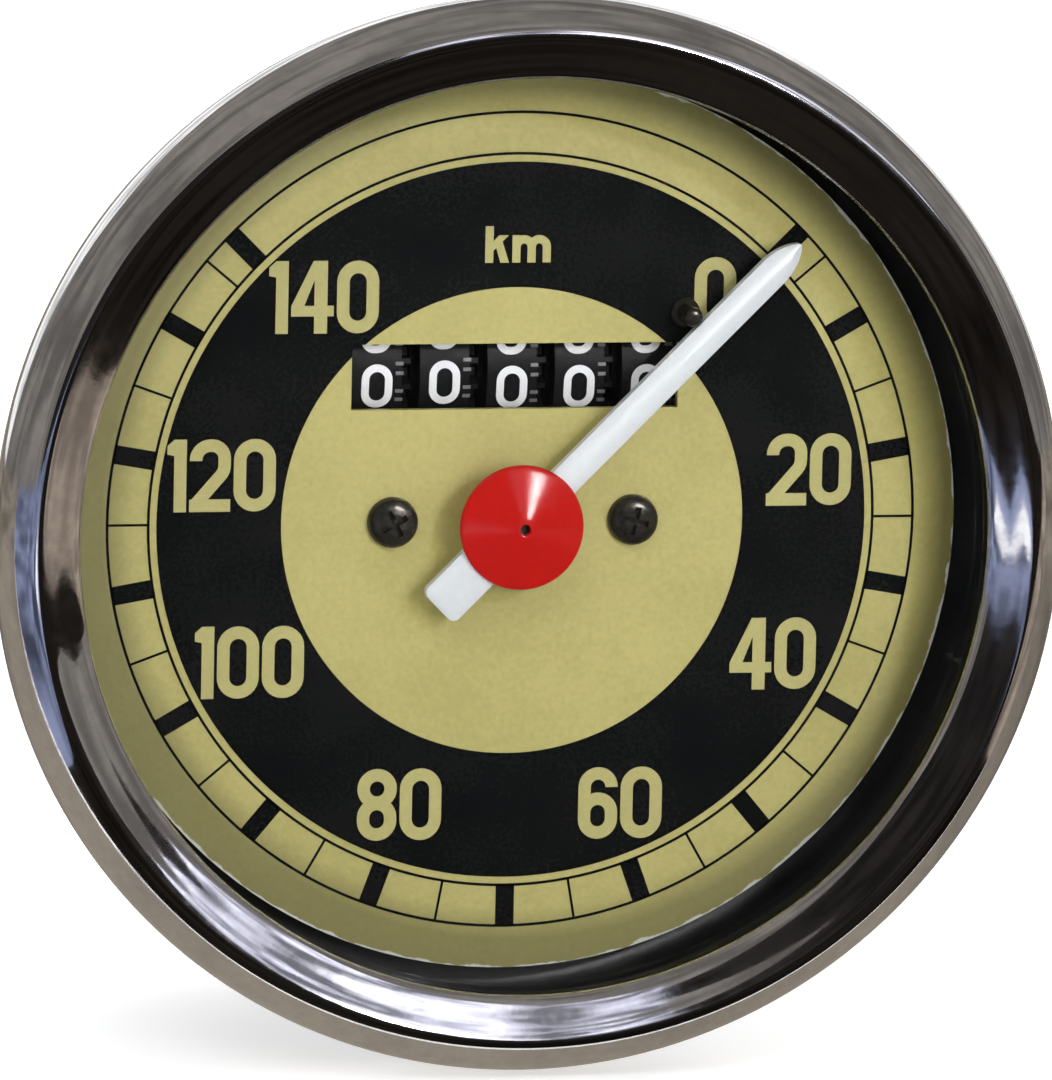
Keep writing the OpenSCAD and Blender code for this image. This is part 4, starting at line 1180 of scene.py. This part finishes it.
@dataclass
class Needle:
    """White needle and red cap, whose profile starts at the needle's front."""

    rear: float = -0.9
    front: float = 0.3
    width: float = 2.45
    reach: float = 31.6
    tip: float = 3.2
    tip_power: float = 1.45
    arm_start: float = 4.0
    tail: Flat = (3.6, 9.2)
    tail_start: float = 2.0
    tail_corner: float = 0.65
    shoulder: float = 3.0
    heel: float = 1.3
    nose_slope: float = 1.7
    rest: float = 45.0
    chamfer: Flat = (0.5, 0.3)
    soft_angle: float = 40.0
    cone: Profile = ((4.92, 0.0), (5.0, 0.1), (5.0, 0.42), (4.88, 0.56), (4.5, 0.7), (2.6, 1.25), (0.9, 1.77),
                     (0.58, 1.8))
    cone_bore: Profile = ((0.44, 1.74), (0.42, 0.6), (0.0, 0.6))

    def build(self) -> None:
        """Build and dress the needle and the cap."""
        self.make_needle()
        profile = lifted([(0.0, 0.0), *soften(self.cone, 2), *self.cone_bore], self.front)
        cap = Bench.lathe("red_cap", profile, Facets.CAP)
        dress(cap, RED_PLASTIC, "pointer_group", "cap_red", "pointer_cap")

    def make_needle(self) -> None:
        """Make the needle with a slope round its flat top, pointing at the stop."""
        half, (tail_w, tail_l) = self.width / 2, self.tail
        nose = [(half * math.cos(a) ** self.tip_power, self.reach - self.tip + self.tip * math.sin(a))
                for a in (math.radians(8 * i) for i in range(11))]
        tail = oblong(-tail_w / 2, -tail_l, tail_w / 2, self.tail_start)
        end = rounded([tail[2], tail[1], tail[0], tail[3]], self.tail_corner, steps=5)
        point = [*((-x, y) for x, y in nose), (0.0, self.reach), *reversed(nose)]
        outline = [*point, (half, self.arm_start), *end, (-half, self.arm_start)]
        high = self.chamfer[1]
        needle = Bench.plate("needle", [outline], self.rear, self.front - high)
        Bench.raise_face(needle, self.front - high, high, self.top_edge)
        Bench.put(needle, Matrix.Rotation(math.radians(self.rest), 4, "Y"))
        dress(Bench.smooth(needle, self.soft_angle), NEEDLE_PAINT, "pointer_group", "needle_white", "pointer")

    def top_edge(self, x: float, y: float) -> Flat:
        """Move a point of the needle's outline in to the edge of its flat top.

        Args:
            x: Place across the needle.
            y: Place along the needle.

        Returns:
            The point on the flat top.
        """
        wide = self.chamfer[0]
        tail_w, tail_l = self.tail
        half = tail_w / 2 if y < self.shoulder else self.width / 2
        nose = max(0.0, 1 - (self.reach - y) / self.tip)
        heel = max(0.0, 1 - (y + tail_l) / self.heel)
        return x * (1 - wide / half), y + wide * (heel - self.nose_slope * nose)


@dataclass
class Counter:
    """White digits, and grey dashes beside them that are painted glints of the drums' gear teeth, on the five
    drums, the units on the right.
    """

    axis: Flat = (11.6, -11.3)
    radius: float = 7.1
    pitch: float = 5.47
    count: int = 5
    ink: float = 0.03
    below: float = 0.92
    stray: tuple[float, ...] = (1.5, 1.6, 1.7, -2.1, 0.0)
    apart: float = 36.0
    tall: float = 3.58
    bends: int = 8
    pen: float = 0.61
    wide: float = 2.45
    zero_wide: float = 2.5
    one_wide: float = 1.25
    # Painted glints of the gear teeth: a dash beside each digit, and the rows of them round the drum.
    mark: Quad = (1.5, -0.14, 2.12, 0.14)
    mark_rows: tuple[float, ...] = (1.84, 1.07, -0.37, -1.08)

    def build(self) -> None:
        """Make one set of digits and one of painted glints, and put a copy of each on every drum."""
        low, high = self.radius, self.radius + self.ink
        widths = dict.fromkeys("23456789", self.wide) | {"0": self.zero_wide, "1": self.one_wide}
        digits = Lettering(self.tall, self.pen, widths, low, high)
        numbers, glints = [], []
        for value in range(10):
            angle = -math.degrees(self.below / self.radius) - self.apart * value
            flat = digits.write(str(value), (0.0, 0.0))[0]
            numbers.append(self.wrap(flat, angle, self.tall, self.bends))
            # Each digit gets its dashes of painted glint from the gear teeth.
            for row in self.mark_rows:
                mark = Bench.plate("mark", [oblong(*self.mark)], low, high)
                glints.append(self.wrap(mark, angle + math.degrees(row / self.radius), 2 * self.mark[3], 1))
        digits.clear()
        sets = [(Bench.join("digits", numbers), "drum_digits", DIGIT_WHITE),
                (Bench.join("glints", glints), "drum_glints", GLINT_GREY)]
        for drum in range(1, self.count + 1):
            place = world(((self.count + 1) / 2 - drum) * self.pitch, *self.axis)
            turn = Matrix.Rotation(math.radians(self.stray[drum - 1]), 4, "X")
            for source, name, finish in sets:
                copy = Bench.call(Bench.copy(source, Matrix.Translation(place) @ turn), f"{name}_{drum}")
                dress(copy, finish, f"drum_{drum}_group", "drum_black")
        for source, _, _ in sets:
            bpy.data.objects.remove(source)

    def wrap(self, piece: Piece, angle: float, height: float, bends: int) -> Piece:
        """Bend a flat slab round the drum axis, which lies on the origin.

        Args:
            piece: The slab, as high above the axis as the drum's surface.
            angle: Degrees up from the reader.
            height: Height of the slab.
            bends: Number of strips that the slab is cut into.

        Returns:
            The same piece.
        """
        Bench.pick(piece)
        bpy.ops.object.mode_set(mode="EDIT")
        for i in range(1, bends):
            bpy.ops.mesh.select_all(action="SELECT")
            bpy.ops.mesh.bisect(plane_co=world(0, height * (i / bends - 0.5), 0), plane_no=(0, 0, 1))
        bpy.ops.object.mode_set(mode="OBJECT")
        for vertex in piece.data.vertices:
            lift = -vertex.co.y
            turn = math.radians(angle) + vertex.co.z / (self.radius * MM)
            vertex.co.y, vertex.co.z = -lift * math.cos(turn), lift * math.sin(turn)
        return piece


@dataclass(frozen=True)
class Thread:
    """A screw thread, sunk into a turned bar between two levels."""

    radius: float
    pitch: float
    low: float
    high: float
    rings: int
    depth: float = 0.58
    crest: float = 1.15
    slope: float = 2.5
    slack: float = 0.01
    soft_angle: float = 50.0

    def wall(self, top: float) -> list[Flat]:
        """Give the bar's side in many rings, from the thread's lower level up to the top."""
        return [(self.radius, self.low + (top - self.low) * i / self.rings) for i in range(self.rings + 1)]

    def kept(self, radius: float, turn: float, level: float) -> float:
        """Give the share of its radius that a point of the bar keeps.

        Args:
            radius: Distance from the axis.
            turn: Place round the axis, in turns.
            level: Height.

        Returns:
            The share, which is one away from the thread.
        """
        if abs(radius - self.radius) > self.slack or not self.low < level < self.high:
            return 1.0
        phase = (level / self.pitch - turn) % 1.0
        fade = min(1.0, (level - self.low) / self.pitch, (self.high - level) / self.pitch)
        groove = min(1.0, max(0.0, self.crest - self.slope * abs(phase - 0.5)))
        return 1 - self.depth * self.pitch * fade * groove / radius

    def sink(self, bar: Piece, centre: Flat) -> Piece:
        """Sink the thread into a bar about its axis and shade it."""
        return Bench.smooth(Bench.squeeze(bar, centre, self.kept), self.soft_angle)


@dataclass
class CaseAndRear:
    """Case, cable neck, studs, rear screws and lamp fittings."""

    case_r: float = 40.0
    barrel: Flat = (8.0, 3.0)
    body_r: float = 31.5
    wall: float = 1.0
    depth: float = 50.0
    corner: float = 4.0
    fillet: float = 1.0
    flange_r: float = 41.3
    flange: Flat = (0.9, 1.9)
    flange_round: float = 0.3
    lip_depth: float = 1.0
    relief: float = 0.5
    floor: float = -49.0
    shoulder: float = -50.2
    neck: Quad = (9.0, 8.5, 6.0, 4.5)
    neck_end: float = -66.0
    neck_bevel: Flat = (0.8, 0.4)
    neck_relief: float = 1.0
    neck_room: float = 0.3
    ferrule: float = -60.0
    neck_thread: tuple[float, int] = (1.5, 110)
    stud: Triple = (2.5, 2.2, 4.2)
    stud_x: float = 23.0
    stud_head: float = 1.2
    stud_bevel: Flat = (0.5, 0.2)
    stud_relief: float = 0.6
    stud_thread: tuple[float, int] = (0.8, 200)
    screw: Triple = (1.5, 2.5, 1.2)
    screw_ring: float = 20.5
    screw_depth: float = 2.5
    screw_bevel: float = 0.3
    screw_dome: Profile = ((1.0, 0.0), (1.0, 0.5), (0.82, 0.92), (0.5, 1.0))
    screw_slot: Flat = (3.0, 9.0)
    screw_turns: Triple = (35.0, 85.0, 135.0)
    lamp: Flat = (-12.045, -17.202)
    lamp_r: Triple = (5.1, 6.3, 4.1)
    lamp_z: Quad = (-43.0, -50.0, -51.0, -54.0)
    lamp_bevels: Triple = (0.2, 0.15, 0.3)
    lamp_room: float = 0.1
    grip: Triple = (24.0, 0.03, 0.05)
    bulb_seat: Flat = (3.2, -47.0)
    blade: Triple = (4.0, 0.8, 8.0)
    blade_hole: Flat = (0.8, 0.62)

    def build(self) -> None:
        """Build and dress the rear of the instrument."""
        self.make_case()
        self.make_neck()
        self.make_studs()
        self.make_screws()
        self.make_lamp()
        self.make_spade()

    def screw_places(self) -> list[Flat]:
        """Give the places of the three rear screws."""
        return fan((0.0, 0.0), self.screw_ring, (30, 150, 270))

    def stud_places(self) -> list[Flat]:
        """Give the places of the two studs."""
        return [(-self.stud_x, 0.0), (self.stud_x, 0.0)]

    def make_case(self) -> None:
        """Turn the case and drill its floor."""
        r, bore, rear, bend = self.case_r, self.case_r - self.wall, -self.depth, self.corner
        deep, turn = self.barrel
        inner, flat = bend - self.wall, self.body_r - bend
        back, front = self.flange
        lip = [(r - self.relief, back), (self.flange_r, back), (self.flange_r, front), (bore, front),
               (bore, -self.lip_depth)]
        step, hip = (self.body_r + self.fillet, -deep - self.fillet), (r - turn, turn - deep)
        outside = [*arc((flat, rear + bend), bend, -90, 0, 10), *arc(step, self.fillet, 180, 90, 5),
                   *arc(hip, turn, -90, 0, 8)]
        inside = [*arc(hip, turn - self.wall, 0, -90, 6), *arc(step, self.fillet + self.wall, 90, 180, 6),
                  *arc((flat, self.floor + inner), inner, 0, -90, 8)]
        profile = [(0.0, rear), *outside, (r, 0.0), (r - self.relief, 0.0), *rounded(lip, self.flange_round),
                   *inside, (0.0, self.floor)]
        case = Bench.lathe("case", profile, Facets.CASE)
        holes = [((0.0, 0.0), self.neck[1] + self.neck_room), (self.lamp, self.lamp_r[0] + self.lamp_room)]
        holes += [(place, self.stud[1]) for place in self.stud_places()]
        holes += [(place, self.screw[0]) for place in self.screw_places()]
        for place, radius in holes:
            shaft = oblong(0.0, rear - CLEAR, radius, self.floor + CLEAR)
            drill = Bench.lathe("drill", shaft, Facets.DRILL, place)
            Bench.boolean(case, drill, Joint.CUT)
        dress(Bench.smooth(case), ENAMEL, "case", "case_enamel", "case_shell")

    def make_neck(self) -> None:
        """Turn the threaded neck for the cable."""
        outer, spigot, ferrule, bush = self.neck
        end, shoulder, floor = self.neck_end, self.shoulder, self.floor
        wide, small = self.neck_bevel
        pitch, rings = self.neck_thread
        thread = Thread(outer, pitch, end + wide, shoulder - self.neck_relief, rings)
        outside = [(ferrule + small, end), (outer - wide, end), *thread.wall(shoulder), (spigot, shoulder)]
        inside = [(spigot, floor), (bush, floor), (bush, self.ferrule), (ferrule, self.ferrule),
                  (ferrule, end + small), (ferrule + small, end)]
        neck = thread.sink(Bench.lathe("cable_neck", [*outside, *inside], Facets.NECK), (0.0, 0.0))
        dress(neck, ZINC, "case", "die_cast_zinc", "neck_sleeve")

    def make_studs(self) -> None:
        """Turn the two threaded studs."""
        radius, shank, head = self.stud
        end, shoulder, floor, top = self.neck_end, self.shoulder, self.floor, self.floor + self.stud_head
        wide, small = self.stud_bevel
        pitch, rings = self.stud_thread
        thread = Thread(radius, pitch, end + wide, shoulder - self.stud_relief, rings)
        profile = [(0.0, end), (radius - wide, end), *thread.wall(shoulder), (shank, shoulder),
                   (shank, floor), (head, floor), (head, top - small), (head - small, top), (0.0, top)]
        studs = [thread.sink(Bench.lathe("stud", profile, Facets.POST, place), place)
                 for place in self.stud_places()]
        dress(Bench.join("clamp_studs", studs), STEEL, "case", "bright_steel", "mounting_studs")

    def make_screws(self) -> None:
        """Make the three slotted screws in the case floor."""
        shank, head, high = self.screw
        rear, tip, bevel = -self.depth, self.floor + self.screw_depth, self.screw_bevel
        dome = [(wide * head, rear - share * high) for wide, share in self.screw_dome]
        profile = [(0.0, rear - high), *reversed(soften(dome, 2)), (shank, rear), (shank, tip - bevel),
                   (shank - bevel, tip), (0.0, tip)]
        screws = []
        for number, place in enumerate(self.screw_places()):
            screw = Bench.lathe("screw", profile, Facets.SCREW, place)
            slot = slit(place, *self.screw_slot, self.screw_turns[number])
            cutter = Bench.plate("slot", [slot], rear - high - CLEAR, rear - 0.5 * high)
            Bench.boolean(screw, cutter, Joint.CUT)
            screws.append(Bench.smooth(screw))
        dress(Bench.join("case_floor_screws", screws), STEEL, "case", "bright_steel", "base_screws")

    def make_lamp(self) -> None:
        """Make the lamp holder with its ribbed grip."""
        sleeve, flange, boss = self.lamp_r
        inside, rear, step, end = self.lamp_z
        seat_r, seat = self.bulb_seat
        lead, soft, worn = self.lamp_bevels
        profile = [(0.0, seat), (seat_r, seat), (seat_r, inside), (sleeve - lead, inside),
                   (sleeve, inside - lead), (sleeve, rear), (flange - soft, rear), (flange, rear - soft),
                   (flange, step + soft), (flange - soft, step), (boss, step), (boss, end + worn),
                   (boss - worn, end), (0.0, end)]
        holder = Bench.lathe("bulb_holder", profile, Facets.LAMP, self.lamp)
        Bench.squeeze(holder, self.lamp, self.grip_kept)
        dress(holder, LAMP_PLASTIC, "case", "lamp_plastic", "lamp_holder")

    def grip_kept(self, radius: float, turn: float, level: float) -> float:
        """Give the share of its radius that a point of the lamp holder keeps under the ribs of its grip.

        Args:
            radius: Distance from the axis.
            turn: Place round the axis, in turns.
            level: Height, which makes no difference.

        Returns:
            The share, which is one inside the grip.
        """
        ribs, deep, edge = self.grip
        if radius <= self.lamp_r[1] - edge:
            return 1.0
        return 1 - deep * (0.5 + 0.5 * math.cos(ribs * turn * math.tau))

    def make_spade(self) -> None:
        """Make the spade terminal of the lamp."""
        wide, thick, long = self.blade
        hole_r, hole_share = self.blade_hole
        corners = oblong(-wide / 2, -long, wide / 2, 0.0)
        face = rounded([corners[3], *corners[:3]], 1.0, closed=True, steps=5)
        hole = arc((0.0, -hole_share * long), hole_r, 90, 450 - 360 / len(face), len(face) - 1)
        blade = Bench.plate("lamp_spade", [face, hole], -thick / 2, thick / 2)
        stand = Matrix.Rotation(math.radians(90.0), 4, "X")
        Bench.put(blade, Matrix.Translation(world(*self.lamp, self.lamp_z[3])) @ stand)
        dress(blade, BRASS, "case", "turned_brass", "lamp_terminal")


@dataclass
class Movement:
    """The pieces of the movement that keep their CAD shape."""

    # The arbor is darkened as painted shade for the bottom of the cap's bore.
    blued: tuple[str, ...] = ("pointer_arbor",)

    def build(self) -> None:
        """Give every CAD node the finish of its slot, and give the steel arbor a dark finish, painted shade
        for the cap's bore in which its end shows.
        """
        for part in frame["record"]["subparts"]:
            node = frame["nodes"][part["node"]]
            finish = BORE_SHADE_STEEL if node.name in self.blued else SLOT_FINISHES[part["material_slot"]]
            node.data.materials.clear()
            node.data.materials.append(finish.material())
            LOG.info("%s keeps its shape", node.name)


def main() -> None:
    """Build the studio and every assembly."""
    logging.basicConfig(level=logging.INFO, format="%(message)s")
    Studio().build()
    for assembly in (Movement(), CaseAndRear(), DialFace(), Counter(), Needle(), BezelAndGlass()):
        assembly.build()


if __name__ == "__main__":
    main()
